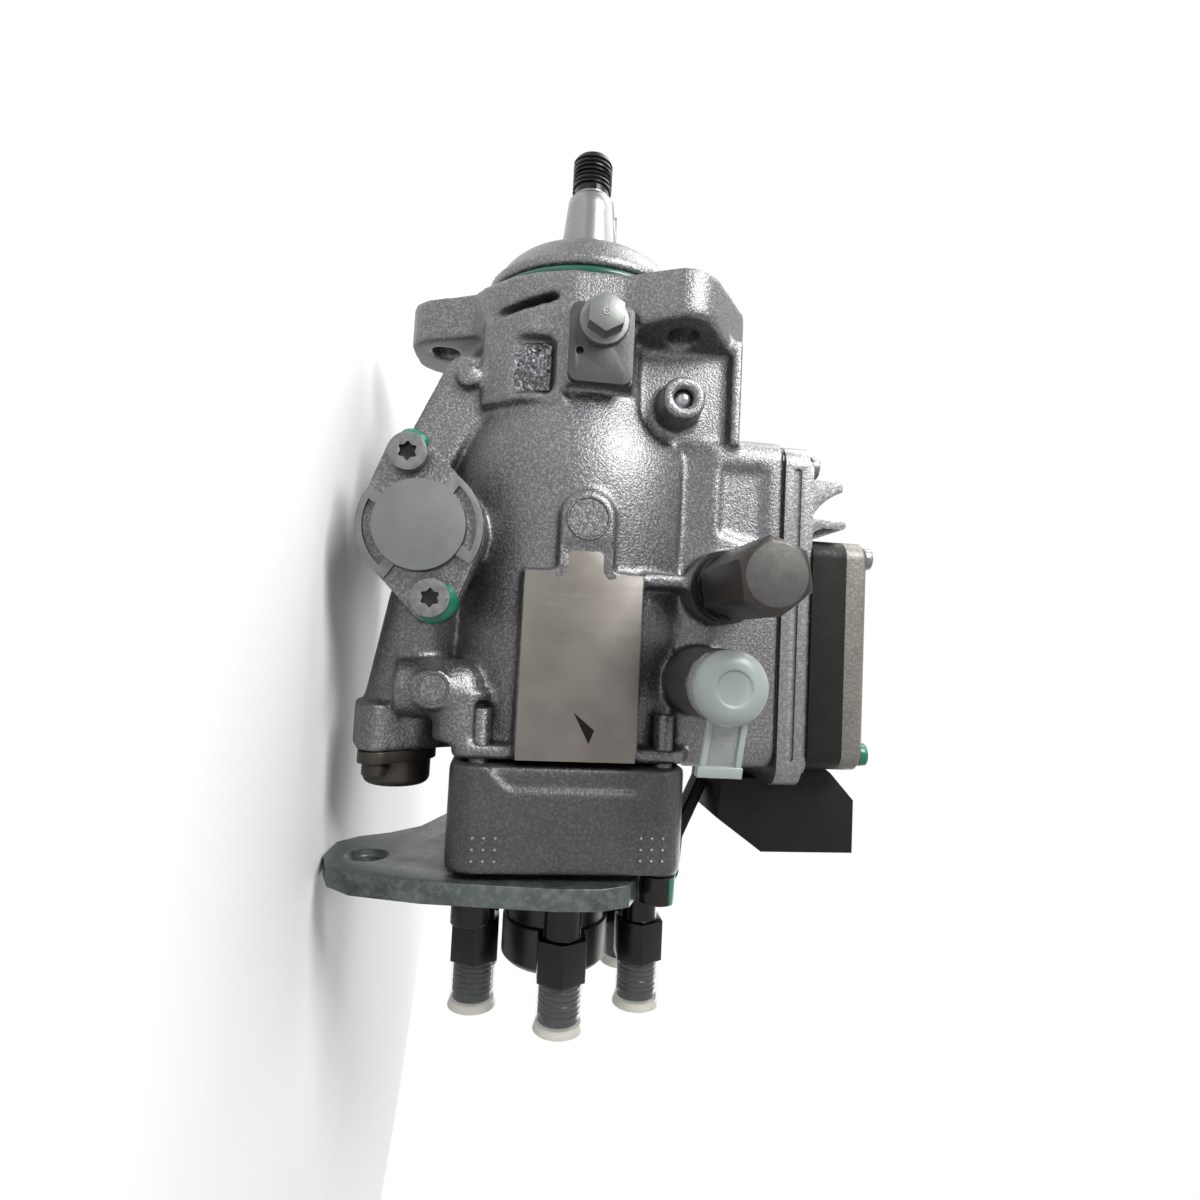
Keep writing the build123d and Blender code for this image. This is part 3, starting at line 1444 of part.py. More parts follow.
with BuildPart() as timing_valve:
    with BuildSketch(across(body_length)):
        with Locations((valve_y, valve_z)):
            Circle(valve_r + valve_plate_margin)
        with Locations((valve_screw_y, valve_screw_z)):
            Circle(valve_lug_r)
        make_hull()
        with Locations((valve_screw_y, valve_screw_z)):
            Circle(small_screw_r, mode=Mode.SUBTRACT)
    extrude(amount=valve_plate_thickness)
    with BuildSketch(across(valve_body_x)):
        with Locations((valve_y, valve_z)):
            Circle(valve_r)
    extrude(amount=valve_length)
    fillet(timing_valve.faces().sort_by(Axis.X)[-1].edges(), valve_edge_r)
    with BuildSketch(across(body_length)):
        with Locations((valve_y, valve_z)):
            Circle(valve_stem_r)
    extrude(amount=-valve_stem_length + screw_end_gap)
save(timing_valve.part, "timing_valve")

with BuildPart() as timing_valve_screw:
    screws(across(valve_body_x), [(valve_screw_y, valve_screw_z)], 1, small_screw_r,
           small_screw_depth - screw_end_gap + valve_plate_thickness, valve_screw_head_r,
           valve_screw_head_height, small_drive_r)
save(timing_valve_screw.part, "timing_valve_screw")

# Shaft lock: a spacer plate held by a flanged hexagon screw, and the ball that closes a drilling
with BuildPart() as lock_plate:
    with BuildSketch(near(lock_pad_y)):
        with Locations((lock_plate_x, lock_plate_z)):
            RectangleRounded(lock_plate_length, lock_plate_width, lock_corner_r)
        with Locations((lock_x, lock_z)):
            Circle(screw_r, mode=Mode.SUBTRACT)
        with Locations((lock_hole_x, lock_hole_z)):
            Circle(lock_hole_r, mode=Mode.SUBTRACT)
    extrude(amount=lock_plate_thickness)
save(lock_plate.part, "lock_plate")

with BuildPart() as lock_screw:
    with BuildSketch(near(lock_pad_y - lock_plate_thickness)):
        with Locations((lock_x, lock_z)):
            Circle(screw_r)
    extrude(amount=-lock_screw_depth - lock_plate_thickness + screw_end_gap)
    with BuildSketch(near(lock_pad_y - lock_plate_thickness)):
        with Locations((lock_x, lock_z)):
            Circle(lock_washer_r)
    extrude(amount=lock_washer_height, taper=lock_washer_taper)
    with BuildSketch(near(lock_pad_y - lock_plate_thickness)):
        with Locations((lock_x, lock_z)):
            RegularPolygon(lock_screw_hex / 2, 6, major_radius=False)
    extrude(amount=lock_screw_head)
save(lock_screw.part, "lock_screw")

with BuildPart() as ball_plug:
    with Locations((ball_x, ball_boss_y + ball_r + ball_recess, ball_z)):
        Sphere(ball_r)
save(ball_plug.part, "ball_plug")

# Overflow valve with its sealing washer, and the cap that plugs the inlet
with BuildPart() as overflow_washer:
    with BuildSketch(near(overflow_boss_y)):
        with Locations((overflow_x, overflow_z)):
            Circle(overflow_washer_r)
            Circle(overflow_thread_r, mode=Mode.SUBTRACT)
    extrude(amount=overflow_washer_thickness)
save(overflow_washer.part, "overflow_washer")

with BuildPart() as overflow_valve:
    with BuildSketch(near(overflow_seat_y)):
        with Locations((overflow_x, overflow_z)):
            Circle(overflow_thread_r)
    extrude(amount=-overflow_thread_length - overflow_washer_thickness)
    with BuildSketch(near(overflow_seat_y)):
        with Locations((overflow_x, overflow_z)):
            Circle(overflow_collar_r)
    extrude(amount=overflow_collar_length)
    with BuildSketch(near(overflow_seat_y - overflow_collar_length)):
        with Locations((overflow_x, overflow_z)):
            RegularPolygon(overflow_hex / 2, 6, major_radius=False, rotation=overflow_turn)
    extrude(amount=overflow_length - overflow_collar_length)
    # round chamfer on the hexagon's corners
    with BuildSketch(Plane.XY.offset(overflow_z)) as turned_outline:
        with BuildLine():
            Polyline(
                (overflow_x, overflow_end_y),
                (overflow_x + overflow_face_r, overflow_end_y),
                (overflow_x + overflow_hex, overflow_chamfer_y),
                (overflow_x + overflow_hex, overflow_boss_y + boss_depth),
                (overflow_x, overflow_boss_y + boss_depth),
                close=True,
            )
        make_face()
    revolve(turned_outline.sketch, axis=Axis((overflow_x, 0, overflow_z), (0, 1, 0)), mode=Mode.INTERSECT)
save(overflow_valve.part, "overflow_valve")

with BuildPart() as inlet_cap:
    with BuildSketch(near(inlet_boss_y)):
        with Locations((inlet_x, inlet_z)):
            Circle(inlet_cap_r)
    extrude(amount=inlet_cap_rim)
    with BuildSketch(near(inlet_boss_y - inlet_cap_rim)):
        with Locations((inlet_x, inlet_z)):
            Circle(inlet_cap_r - inlet_cap_step)
    extrude(amount=inlet_cap_height - inlet_cap_rim, taper=inlet_cap_taper)
    with BuildSketch(near(inlet_boss_y)):
        with Locations((inlet_x, inlet_z)):
            Circle(inlet_hole_r - sliding)
            Circle(inlet_hole_r - sliding - cap_wall, mode=Mode.SUBTRACT)
    extrude(amount=-inlet_plug_length)
    with BuildSketch(near(inlet_boss_y)):
        with Locations(Location((inlet_x + tab_centre, inlet_z + tab_lean, 0), (0, 0, -tab_angle))):
            RectangleRounded(tab_length, tab_width, tab_corner_r)
            with Locations((tab_window_shift, 0)):
                RectangleRounded(tab_window_length, tab_window_width, tab_window_corner_r, mode=Mode.SUBTRACT)
    extrude(amount=tab_thickness)
save(inlet_cap.part, "inlet_cap")

# Control unit: gasket, finned base, box, cover and its screws
with BuildPart() as unit_gasket:
    with BuildSketch(Plane.XY.offset(unit_seat_z)):
        with Locations((unit_mid_x, unit_mid_y)):
            RectangleRounded(
                unit_rear_x - unit_front_x - 2 * gasket_inset,
                unit_far - unit_near - 2 * gasket_inset,
                seat_corner_r - gasket_inset,
            )
        with Locations(*base_screw_centres):
            Circle(small_screw_r, mode=Mode.SUBTRACT)
    extrude(amount=gasket_thickness)
save(unit_gasket.part, "unit_gasket")

with BuildPart() as unit_base:
    with BuildSketch(Plane.XY.offset(gasket_top_z)):
        with Locations((base_mid_x, unit_mid_y)):
            RectangleRounded(base_rear_x - base_front_x, unit_far - unit_near, seat_corner_r)
    extrude(amount=base_thickness)
    with BuildSketch(Plane.XY.offset(base_top_z)):
        with Locations((base_mid_x, unit_mid_y)):
            RectangleRounded(
                base_rear_x - base_front_x - 2 * base_step_inset,
                unit_far - unit_near - 2 * base_step_inset,
                base_step_corner_r,
            )
    extrude(amount=base_step)
    # groove along the near edge
    with BuildSketch(near(unit_near)):
        with Locations((base_mid_x, gasket_top_z + 0.5 * base_thickness)):
            SlotOverall(base_rear_x - base_front_x - 2 * base_groove_margin, base_groove_width)
    extrude(amount=-base_groove_depth, mode=Mode.SUBTRACT)
    # heat-sink fins ahead of the box: a nosed one with a hollow back, and a plate with a rounded edge
    with BuildSketch(near(unit_near + base_step_inset + fin_inset)):
        with BuildLine():
            Polyline(
                (fin_front_x + fin_foot_length, step_top_z),
                (fin_front_x, step_top_z),
                (fin_front_x, fin_top_z - fin_nose_r),
            )
            ThreePointArc(
                (fin_front_x, fin_top_z - fin_nose_r),
                (fin_front_x + fin_nose_r - half_turn_step, fin_top_z - fin_nose_r + half_turn_step),
                (fin_front_x + fin_nose_r, fin_top_z),
            )
            Line((fin_front_x + fin_nose_r, fin_top_z), (fin_front_x + fin_tip_length, fin_top_z))
            ThreePointArc(
                (fin_front_x + fin_tip_length, fin_top_z),
                fin_hollow_middle,
                (fin_front_x + fin_foot_length, step_top_z),
            )
        make_face()
    extrude(amount=-fin_length)
    with BuildSketch(near(unit_near + base_step_inset + fin_inset)):
        with BuildLine():
            Polyline(
                (plate_fin_x + plate_fin_thickness, step_top_z + plate_fin_foot_rise),
                (plate_fin_x + plate_fin_thickness, plate_fin_top_z - 0.5 * plate_fin_thickness),
            )
            ThreePointArc(
                (plate_fin_x + plate_fin_thickness, plate_fin_top_z - 0.5 * plate_fin_thickness),
                (plate_fin_x + 0.5 * plate_fin_thickness, plate_fin_top_z),
                (plate_fin_x, plate_fin_top_z - 0.5 * plate_fin_thickness),
            )
            Polyline(
                (plate_fin_x, plate_fin_top_z - 0.5 * plate_fin_thickness),
                (plate_fin_x, step_top_z),
                (plate_fin_x + plate_fin_thickness + plate_fin_foot_length, step_top_z),
            )
            ThreePointArc(
                (plate_fin_x + plate_fin_thickness + plate_fin_foot_length, step_top_z),
                (
                    plate_fin_x + plate_fin_thickness + plate_fin_foot_length * (1 - sin(radians(45))),
                    step_top_z + plate_fin_foot_rise * (1 - sin(radians(45))),
                ),
                (plate_fin_x + plate_fin_thickness, step_top_z + plate_fin_foot_rise),
            )
        make_face()
    extrude(amount=-fin_length)
    with BuildSketch(Plane.XY.offset(step_top_z)):
        with Locations(*base_screw_centres):
            Circle(small_head_r + slack)
    extrude(amount=plate_fin_rise + cut_margin, mode=Mode.SUBTRACT)
    with BuildSketch(Plane.XY.offset(step_top_z)):
        with Locations(*base_screw_centres):
            Circle(small_screw_r)
    extrude(amount=-base_step - base_thickness, mode=Mode.SUBTRACT)
    with BuildSketch(Plane.XY.offset(step_top_z)):
        with Locations(*cover_screw_centres):
            Circle(small_screw_r)
    extrude(amount=-cover_screw_grip, mode=Mode.SUBTRACT)
save(unit_base.part, "unit_base")

with BuildPart() as base_screws:
    screws(Plane.XY.offset(step_top_z), base_screw_centres, 1, small_screw_r,
           base_step + base_thickness + gasket_thickness + small_screw_depth - screw_end_gap, small_head_r,
           small_head_height, small_drive_r)
save(base_screws.part, "base_screws")

with BuildPart() as unit_box:
    with BuildSketch(Plane.XY.offset(step_top_z)):
        with Locations((box_mid_x, unit_mid_y)):
            RectangleRounded(unit_rear_x - box_front_x, box_width, box_corner_r)
        with Locations(*cover_screw_centres):
            Circle(small_screw_r, mode=Mode.SUBTRACT)
    extrude(amount=box_height)
    with BuildSketch(Plane.XY.offset(step_top_z)):
        with Locations((box_mid_x, unit_mid_y)):
            RectangleRounded(unit_rear_x - box_front_x - 2 * box_wall, box_width - 2 * box_wall, box_inner_r)
    extrude(amount=box_height - box_wall_floor, mode=Mode.SUBTRACT)
save(unit_box.part, "unit_box")

with BuildPart() as unit_cover:
    with BuildSketch(Plane.XY.offset(box_top_z)):
        with Locations((box_mid_x, unit_mid_y)):
            RectangleRounded(unit_rear_x - box_front_x, box_width, box_corner_r)
    extrude(amount=cover_thickness)
    chamfer(unit_cover.faces().sort_by(Axis.Z)[-1].edges(), cover_chamfer)
    with BuildSketch(Plane.XY.offset(cover_top_z)):
        with Locations((0.5 * (hump_front_x + hump_rear_x), unit_mid_y)):
            RectangleRounded(hump_rear_x - hump_front_x, unit_far - unit_near - 2 * hump_inset, hump_corner_r)
    extrude(amount=hump_height, taper=hump_taper)
    with BuildSketch(Plane.XY.offset(cover_top_z)):
        with Locations(*cover_screw_centres):
            Circle(small_head_r + slack)
    extrude(amount=hump_height + cut_margin, mode=Mode.SUBTRACT)
    with BuildSketch(Plane.XY.offset(box_top_z)):
        with Locations(*cover_screw_centres):
            Circle(small_screw_r)
    extrude(amount=cover_thickness + cut_margin, mode=Mode.SUBTRACT)
save(unit_cover.part, "unit_cover")

with BuildPart() as cover_screws:
    screws(Plane.XY.offset(cover_top_z), cover_screw_centres, 1, small_screw_r,
           cover_thickness + box_height + cover_screw_grip - screw_end_gap, small_head_r, small_head_height,
           small_drive_r)
save(cover_screws.part, "cover_screws")

# Plug connector behind the box, with its socket open to the rear
with BuildPart() as connector:
    with BuildSketch(near(-connector_half_width)):
        with BuildLine():
            Polyline(
                (base_rear_x, connector_low_z),
                (connector_knee_x, connector_low_z - connector_corner_drop),
                (connector_rear_x, connector_knee_z),
                (connector_rear_x, connector_top_z),
                (connector_rear_x - connector_top_length, connector_top_z),
                (base_rear_x - connector_lean, box_top_z + connector_lean_rise),
                (unit_rear_x, box_top_z),
                (unit_rear_x, step_top_z),
                (base_rear_x, step_top_z),
                close=True,
            )
        make_face()
    extrude(amount=-2 * connector_half_width)
    with BuildSketch(across(connector_rear_x)):
        with Locations((0, socket_mid_z)):
            RectangleRounded(2 * socket_half_width, socket_height, socket_corner_r)
    extrude(amount=-socket_depth, mode=Mode.SUBTRACT)
    with BuildSketch(across(connector_rear_x - socket_depth)):
        with Locations((0, socket_mid_z)):
            with GridLocations(pin_pitch, pin_row_pitch, contact_rows, contact_rows):
                Circle(contact_r)
    extrude(amount=contact_length)
save(connector.part, "connector")

# Flat lead from the control unit down the head's side to the rear solenoid
with BuildPart() as solenoid_lead:
    with BuildLine(Plane.XZ):
        lead_path = FilletPolyline(*lead_points, radius=lead_bend_r)
    with BuildSketch(Plane(origin=lead_path @ 0, x_dir=(0, 1, 0), z_dir=lead_path % 0)):
        RectangleRounded(lead_width, lead_thickness, lead_corner_r)
    sweep(path=lead_path)
save(solenoid_lead.part, "solenoid_lead")

# Distributor head: a pebbled iron block with a round spigot into the housing
with BuildPart() as head:
    with BuildSketch(across(head_front_x)):
        with Locations((0.5 * (head_near + head_far), 0.5 * (head_low + head_high))):
            RectangleRounded(head_far - head_near, head_high - head_low, head_corner_r)
    extrude(amount=head_length)
    with BuildSketch(across(spigot_front_x)):
        Circle(bore_r - slack)
    extrude(amount=head_front_x - spigot_front_x)
    with BuildSketch(across(head_rear_x)):
        Circle(land_r)
        with Locations(*head_screw_centres):
            Circle(screw_boss_r)
    extrude(amount=bracket_gap)
    with BuildSketch(near(head_near)):
        with BuildLine():
            Polyline(
                (head_front_x - cut_margin, recess_low),
                (head_front_x + recess_step, recess_low),
                (head_front_x + recess_width, recess_low + recess_slope_run),
                (head_front_x + recess_width, recess_high - recess_slope_run),
                (head_front_x + recess_step, recess_high),
                (head_front_x - cut_margin, recess_high),
                close=True,
            )
        make_face()
    extrude(amount=-recess_depth, mode=Mode.SUBTRACT)
    with BuildSketch(across(spigot_front_x)):
        Circle(barrel_sleeve_r)
    extrude(amount=bracket_x - spigot_front_x, mode=Mode.SUBTRACT)
    with BuildSketch(across(bracket_x)):
        with Locations(*outlet_centres):
            Circle(holder_root_r)
    extrude(amount=-holder_root_length, mode=Mode.SUBTRACT)
    with BuildSketch(across(bracket_x)):
        with Locations(*head_screw_centres):
            Circle(head_screw_r)
    extrude(amount=-head_length - bracket_gap - cut_margin, mode=Mode.SUBTRACT)
save(head.part, "head")

with BuildPart() as barrel:
    with BuildSketch(across(spigot_front_x)):
        Circle(barrel_sleeve_r)
        Circle(plunger_r + running, mode=Mode.SUBTRACT)
    extrude(amount=bracket_x - spigot_front_x)
    for angle in roller_angles:
        with BuildSketch(Plane.XY.rotated((angle, 0, 0))):
            with Locations((port_x, 0)):
                Circle(port_r)
        extrude(amount=barrel_sleeve_r + cut_margin, mode=Mode.SUBTRACT)
save(barrel.part, "barrel")

with BuildPart() as head_screws:
    screws(across(bracket_x), head_free_centres, 1, head_screw_r, head_screw_length,
           screw_head_r, head_screw_head, screw_drive_r)
    screws(across(bracket_rear_x), head_clamp_centres, 1, head_screw_r, head_screw_length + bracket_thickness,
           screw_head_r, head_screw_head, screw_drive_r)
save(head_screws.part, "head_screws")

# Bracket plate: a flat steel stay whose free end has a dished bolt hole
with BuildPart() as bracket_plate:
    with BuildSketch(across(bracket_x)):
        with BuildLine():
            near_edge = Polyline(
                (-38, 20.2), (-46, 16.5), (-49.5, 8), (-49.5, -4), (-44, -40), (-38, -60), (-31, -67.5),
                (-21, -71), (-8, -70.5), (-1, -65), (4, -56), (13, -47), (34, -39),
            )
            far_edge = Polyline(near_edge @ 1, (40, -34), (40, -24), bracket_inner_points[0])
            inner_arc = ThreePointArc(*bracket_inner_points)
            Line(inner_arc @ 1, near_edge @ 0)
        make_face()
        with Locations(bracket_hole):
            Circle(bracket_hole_r, mode=Mode.SUBTRACT)
        with Locations(*head_clamp_centres):
            Circle(head_screw_r + slack, mode=Mode.SUBTRACT)
    extrude(amount=bracket_thickness)
    with Locations(Location((bracket_x, *bracket_hole), (0, 90, 0))):
        Cone(bracket_dish_r, bracket_hole_r, 2 * bracket_dish_depth, mode=Mode.SUBTRACT)
save(bracket_plate.part, "bracket_plate")

# Rear solenoid with the needle that seals the plunger's chamber
with BuildPart() as rear_solenoid:
    turned(
        [
            (bracket_x, 0),
            (bracket_x, solenoid_r),
            (solenoid_cap_x, solenoid_r),
            (solenoid_cap_x, solenoid_cap_r),
            (solenoid_end_x - solenoid_edge, solenoid_cap_r),
            (solenoid_end_x, solenoid_cap_r - solenoid_edge),
            (solenoid_end_x, solenoid_cap_r - solenoid_rim),
            (solenoid_end_x - solenoid_dish, solenoid_cap_r - solenoid_rim - solenoid_dish),
            (solenoid_end_x - solenoid_dish, 0),
        ]
    )
    with BuildSketch(across(bracket_x)):
        Circle(needle_r + sliding)
    extrude(amount=needle_front_gap + needle_length + needle_rear_gap, mode=Mode.SUBTRACT)
save(rear_solenoid.part, "rear_solenoid")

with BuildPart() as solenoid_needle:
    turned(
        [
            (needle_x, 0),
            (needle_x + needle_tip, needle_r),
            (needle_x + needle_length, needle_r),
            (needle_x + needle_length, 0),
        ]
    )
save(solenoid_needle.part, "solenoid_needle")

# Delivery valve holders: a hexagon, a threaded end and the cone that the pipe seats on
with BuildPart() as delivery_holders:
    with BuildSketch(across(bracket_x - holder_root_length)):
        with Locations(*outlet_centres):
            Circle(holder_root_r)
    extrude(amount=holder_root_length)
    with BuildSketch(across(bracket_x)):
        with Locations(*outlet_centres):
            Circle(holder_r)
    extrude(amount=holder_hex_x - bracket_x)
    with BuildSketch(across(holder_hex_x)):
        with Locations(*outlet_centres):
            RegularPolygon(holder_hex / 2, 6, major_radius=False)
    extrude(amount=holder_hex_length)
    with BuildSketch(across(holder_thread_x)):
        with Locations(*outlet_centres):
            Circle(holder_root_r)
            Circle(holder_seat_r, mode=Mode.SUBTRACT)
    extrude(amount=holder_thread_length)
    with BuildSketch(across(holder_end_x)):
        with Locations(*outlet_centres):
            Circle(holder_bore_r)
    extrude(amount=-holder_thread_length - holder_bore_run, mode=Mode.SUBTRACT)
save(delivery_holders.part, "delivery_holders")

for number, centre in enumerate(outlet_centres, start=1):
    with BuildPart() as delivery_cap:
        with BuildSketch(across(holder_thread_x + free)):
            with Locations(centre):
                Circle(cap_outer_r)
                Circle(cap_outer_r - cap_wall, mode=Mode.SUBTRACT)
        extrude(amount=cap_length - free)
        with BuildSketch(across(holder_end_x + free)):
            with Locations(centre):
                Circle(cap_outer_r)
        extrude(amount=cap_length - holder_thread_length - free)
        with BuildSketch(across(cap_end_x - cap_lip_length)):
            with Locations(centre):
                Circle(cap_outer_r)
        extrude(amount=cap_lip_length, taper=-cap_lip_flare)
    save(delivery_cap.part, f"delivery_cap_{number}")
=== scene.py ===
"""Looks for a distributor injection pump: a cast housing with its drive shaft, timing device, control unit and head.

Metres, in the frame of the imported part: +X runs back along the shaft, +Z points to the control unit and -Y is the
side with the milled pad. Each sub-assembly is a class that replaces or dresses its own nodes.
"""

import json
import logging
import math
from dataclasses import dataclass, field
from enum import Enum
from typing import Callable, Iterable, Sequence

import bmesh
import bpy
import numpy as np
from bmesh.types import BMesh, BMFace, BMVert
from bpy.types import ID, Material, Mesh, Node, NodeOutputs, NodeSocket, NodeTree, Object
from mathutils import Matrix, Vector, noise


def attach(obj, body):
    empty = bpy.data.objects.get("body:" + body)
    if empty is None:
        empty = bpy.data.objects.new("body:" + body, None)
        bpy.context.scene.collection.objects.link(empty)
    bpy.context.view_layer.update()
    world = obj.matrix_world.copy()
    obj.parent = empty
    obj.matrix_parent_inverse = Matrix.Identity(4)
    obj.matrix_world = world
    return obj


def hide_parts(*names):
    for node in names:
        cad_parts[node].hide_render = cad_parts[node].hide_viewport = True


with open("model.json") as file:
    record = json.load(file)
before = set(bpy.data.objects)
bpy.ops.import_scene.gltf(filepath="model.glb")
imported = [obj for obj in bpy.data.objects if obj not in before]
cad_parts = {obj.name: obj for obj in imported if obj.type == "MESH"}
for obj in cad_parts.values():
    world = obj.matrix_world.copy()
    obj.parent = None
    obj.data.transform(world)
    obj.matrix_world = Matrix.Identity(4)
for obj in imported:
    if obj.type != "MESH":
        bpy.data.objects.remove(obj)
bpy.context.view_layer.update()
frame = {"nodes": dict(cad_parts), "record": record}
MM = 0.001
log = logging.getLogger("injection_pump")

Point = Sequence[float]
Outline = Sequence[tuple[float, float]]

# Noise values between which a stain, or a grain's crest, goes from none to full
STAIN_SPAN = (0.42, 0.68)
CREST_SPAN = (0.46, 0.64)
# How far turning and milling marks are drawn out along the cut
DRAWN_OUT = 0.04
# How far a pattern changes the roughness, up and down
ROUGH_SWING = 0.07
# Smallest gap between corners in metres, below which they are one
WELD = 1e-6


# Finishes


class Surface(Enum):
    """How a surface was made, which decides its fine pattern."""

    PLAIN = "plain"
    CAST = "cast"
    TURNED = "turned"
    MILLED = "milled"
    MOULDED = "moulded"
    PLATED = "plated"


def linear(code: str) -> tuple[float, float, float, float]:
    """Turns an sRGB hex colour to the linear values that a shader reads.

    Args:
        code: The colour, such as "#9b9a9c".

    Returns:
        Red, green, blue and alpha.
    """
    parts = [int(code[i : i + 2], 16) / 255 for i in (1, 3, 5)]
    return tuple(c / 12.92 if c <= 0.04045 else ((c + 0.055) / 1.055) ** 2.4 for c in parts) + (1.0,)


def add(tree: NodeTree, kind: str, links: dict | None = None, **settings: object) -> Node:
    """Adds a node, with its settings and the links into it.

    Args:
        tree: The node tree that gets the node.
        kind: The node's type name.
        links: Socket name or number to an output socket, or to the value that the socket holds.
        settings: Properties of the node itself.

    Returns:
        The node.
    """
    node = tree.nodes.new(kind)
    for key, value in settings.items():
        setattr(node, key, value)
    for key, value in (links or {}).items():
        if isinstance(value, NodeSocket):
            tree.links.new(value, node.inputs[key])
        else:
            node.inputs[key].default_value = value
    return node


@dataclass(frozen=True)
class Finish:
    """A material and the way its surface was made.

    Args:
        name: The material's common name and its process.
        slot: The record's material slot; not used.
        colour: The sRGB hex colour.
        metallic: The share that reflects as bare metal.
        roughness: The roughness where the pattern is at its middle.
        surface: How the surface was made.
        grain: The pattern's size in millimetres.
        depth: The height of the pattern in millimetres.
        tone: The second colour that slow stains turn to.
        spread: The share of the second colour at its strongest.
        stain: The size of the stains in millimetres.
        shine: The colour of the pattern's crests: the grit's paler tone with a painted glint on it.
        crest: The share of that colour on the crests.
        axis: The direction of turning or milling marks, as 0, 1 or 2.
        coat: The weight of a clear glossy coat.
        opacity: The share of the surface that hides what is behind it.
        specular: The strength of a plastic's own gloss.
    """

    name: str
    slot: str
    colour: str
    metallic: float = 0.0
    roughness: float = 0.5
    surface: Surface = Surface.PLAIN
    grain: float = 1.0
    depth: float = 0.02
    tone: str = "#808080"
    spread: float = 0.0
    stain: float = 12.0
    shine: str = "#b9b8ba"
    crest: float = 0.0
    axis: int = 0
    coat: float = 0.0
    opacity: float = 1.0
    specular: float = 0.5

    def material(self) -> Material:
        """Builds the material once and returns it on later calls."""
        known = bpy.data.materials.get(self.name)
        if known:
            return known
        made = bpy.data.materials.new(self.name)
        made.use_nodes = True
        tree = made.node_tree
        tree.nodes.clear()
        shader = add(tree, "ShaderNodeBsdfPrincipled", {
            "Base Color": linear(self.colour), "Metallic": self.metallic, "Roughness": self.roughness,
            "Coat Weight": self.coat, "Alpha": self.opacity, "Specular IOR Level": self.specular})
        place = add(tree, "ShaderNodeTexCoord").outputs["Object"]
        colour = None
        if self.spread:
            clouds = add(tree, "ShaderNodeTexNoise", {"Vector": place, "Scale": 1 / (self.stain * MM), "Detail": 5.0})
            colour = self._towards(tree, clouds.outputs["Fac"], STAIN_SPAN, self.spread, None, self.tone)
        if self.surface is not Surface.PLAIN:
            height = self._pattern(tree, place)
            self._relief(tree, height, shader)
            # Paler crests: partly the grit's own tone, partly a painted glint
            if self.crest:
                colour = self._towards(tree, height, CREST_SPAN, self.crest, colour, self.shine)
        if colour:
            tree.links.new(colour, shader.inputs["Base Color"])
        add(tree, "ShaderNodeOutputMaterial", {"Surface": shader.outputs["BSDF"]})
        return made

    def _towards(self, tree: NodeTree, guide: NodeSocket, span: tuple[float, float],
                 most: float, base: NodeSocket | None, tone: str) -> NodeSocket:
        """Turns the colour towards a tone where a guide value is high.

        Args:
            tree: The material's tree.
            guide: The value that decides where.
            span: The guide's values where the change starts and is complete.
            most: The tone's largest share.
            base: The colour so far, or None for the finish's own.
            tone: The sRGB hex colour to turn to.

        Returns:
            The mixed colour.
        """
        share = add(tree, "ShaderNodeMapRange",
                    {"Value": guide, "From Min": span[0], "From Max": span[1], "To Max": most})
        mixed = add(tree, "ShaderNodeMix",
                    {0: share.outputs["Result"], 6: base or linear(self.colour), 7: linear(tone)}, data_type="RGBA")
        return mixed.outputs[2]

    def _pattern(self, tree: NodeTree, place: NodeSocket) -> NodeSocket:
        """Makes the fine pattern that the process leaves, as a value from 0 to 1."""
        scale = 1 / (self.grain * MM)
        if self.surface in (Surface.CAST, Surface.PLATED):
            lumps = add(tree, "ShaderNodeTexNoise", {"Vector": place, "Scale": scale, "Detail": 2.0, "Roughness": 0.6})
            return lumps.outputs["Fac"]
        if self.surface is Surface.MOULDED:
            cells = add(tree, "ShaderNodeTexVoronoi", {"Vector": place, "Scale": scale})
            return cells.outputs["Distance"]
        across, along = (DRAWN_OUT, 1.0) if self.surface is Surface.TURNED else (1.0, DRAWN_OUT)
        stretch = [across] * 3
        stretch[self.axis] = along
        laid = add(tree, "ShaderNodeMapping", {"Vector": place, "Scale": tuple(stretch)})
        marks = add(tree, "ShaderNodeTexNoise", {"Vector": laid.outputs[0], "Scale": scale, "Detail": 2.0})
        return marks.outputs["Fac"]

    def _relief(self, tree: NodeTree, height: NodeSocket, shader: Node) -> None:
        """Gives the pattern to the shader as a bump and as a change of roughness."""
        bump = add(tree, "ShaderNodeBump", {"Height": height, "Strength": 1.0, "Distance": self.depth * MM})
        tree.links.new(bump.outputs["Normal"], shader.inputs["Normal"])
        rough = add(tree, "ShaderNodeMapRange", {
            "Value": height, "From Min": 0.3, "From Max": 0.7, "To Min": max(self.roughness - ROUGH_SWING, 0.02),
            "To Max": min(self.roughness + ROUGH_SWING, 1.0)})
        tree.links.new(rough.outputs["Result"], shader.inputs["Roughness"])


# Aluminium lacquer over sand-cast skin: a grit of about 0.7 mm that breaks the highlights into sparkles.
# Its slow stains' pinkish tone is a painted reflection, and its paler crests carry a painted glint.
SILVER_CASTING = Finish("silver_lacquer_on_cast_aluminium", "cast_aluminium", "#656466", 0.82, 0.38,
                        Surface.CAST, 0.7, 0.2, "#60595d", 0.6, 26.0, "#8b8a8c", 0.8)
# The lumpy floor of a cast pocket: darker than the casting round it, with paler crests
ROUGH_SKIN = Finish("rough_cast_aluminium_skin", "cast_aluminium", "#504d4f", 0.8, 0.34, Surface.CAST, 1.1, 0.3,
                    "#3c393b", 0.8, 3.0, "#96949a", 0.7)
# Metal torn by a slipped tool: its cut painted near black as shade
NICK_SHADE_PAINT = Finish("painted_shade_in_nick", "cast_aluminium", "#14110f", 0.0, 0.7, specular=0.15)
# The lock's spacer plate: smooth dark grey lacquer
PLATE_LACQUER = Finish("smooth_grey_lacquer_on_steel", "turned_steel", "#4a4949", 0.7, 0.42, Surface.CAST, 0.8, 0.04,
                       "#403f3f", 0.5, 5.0)
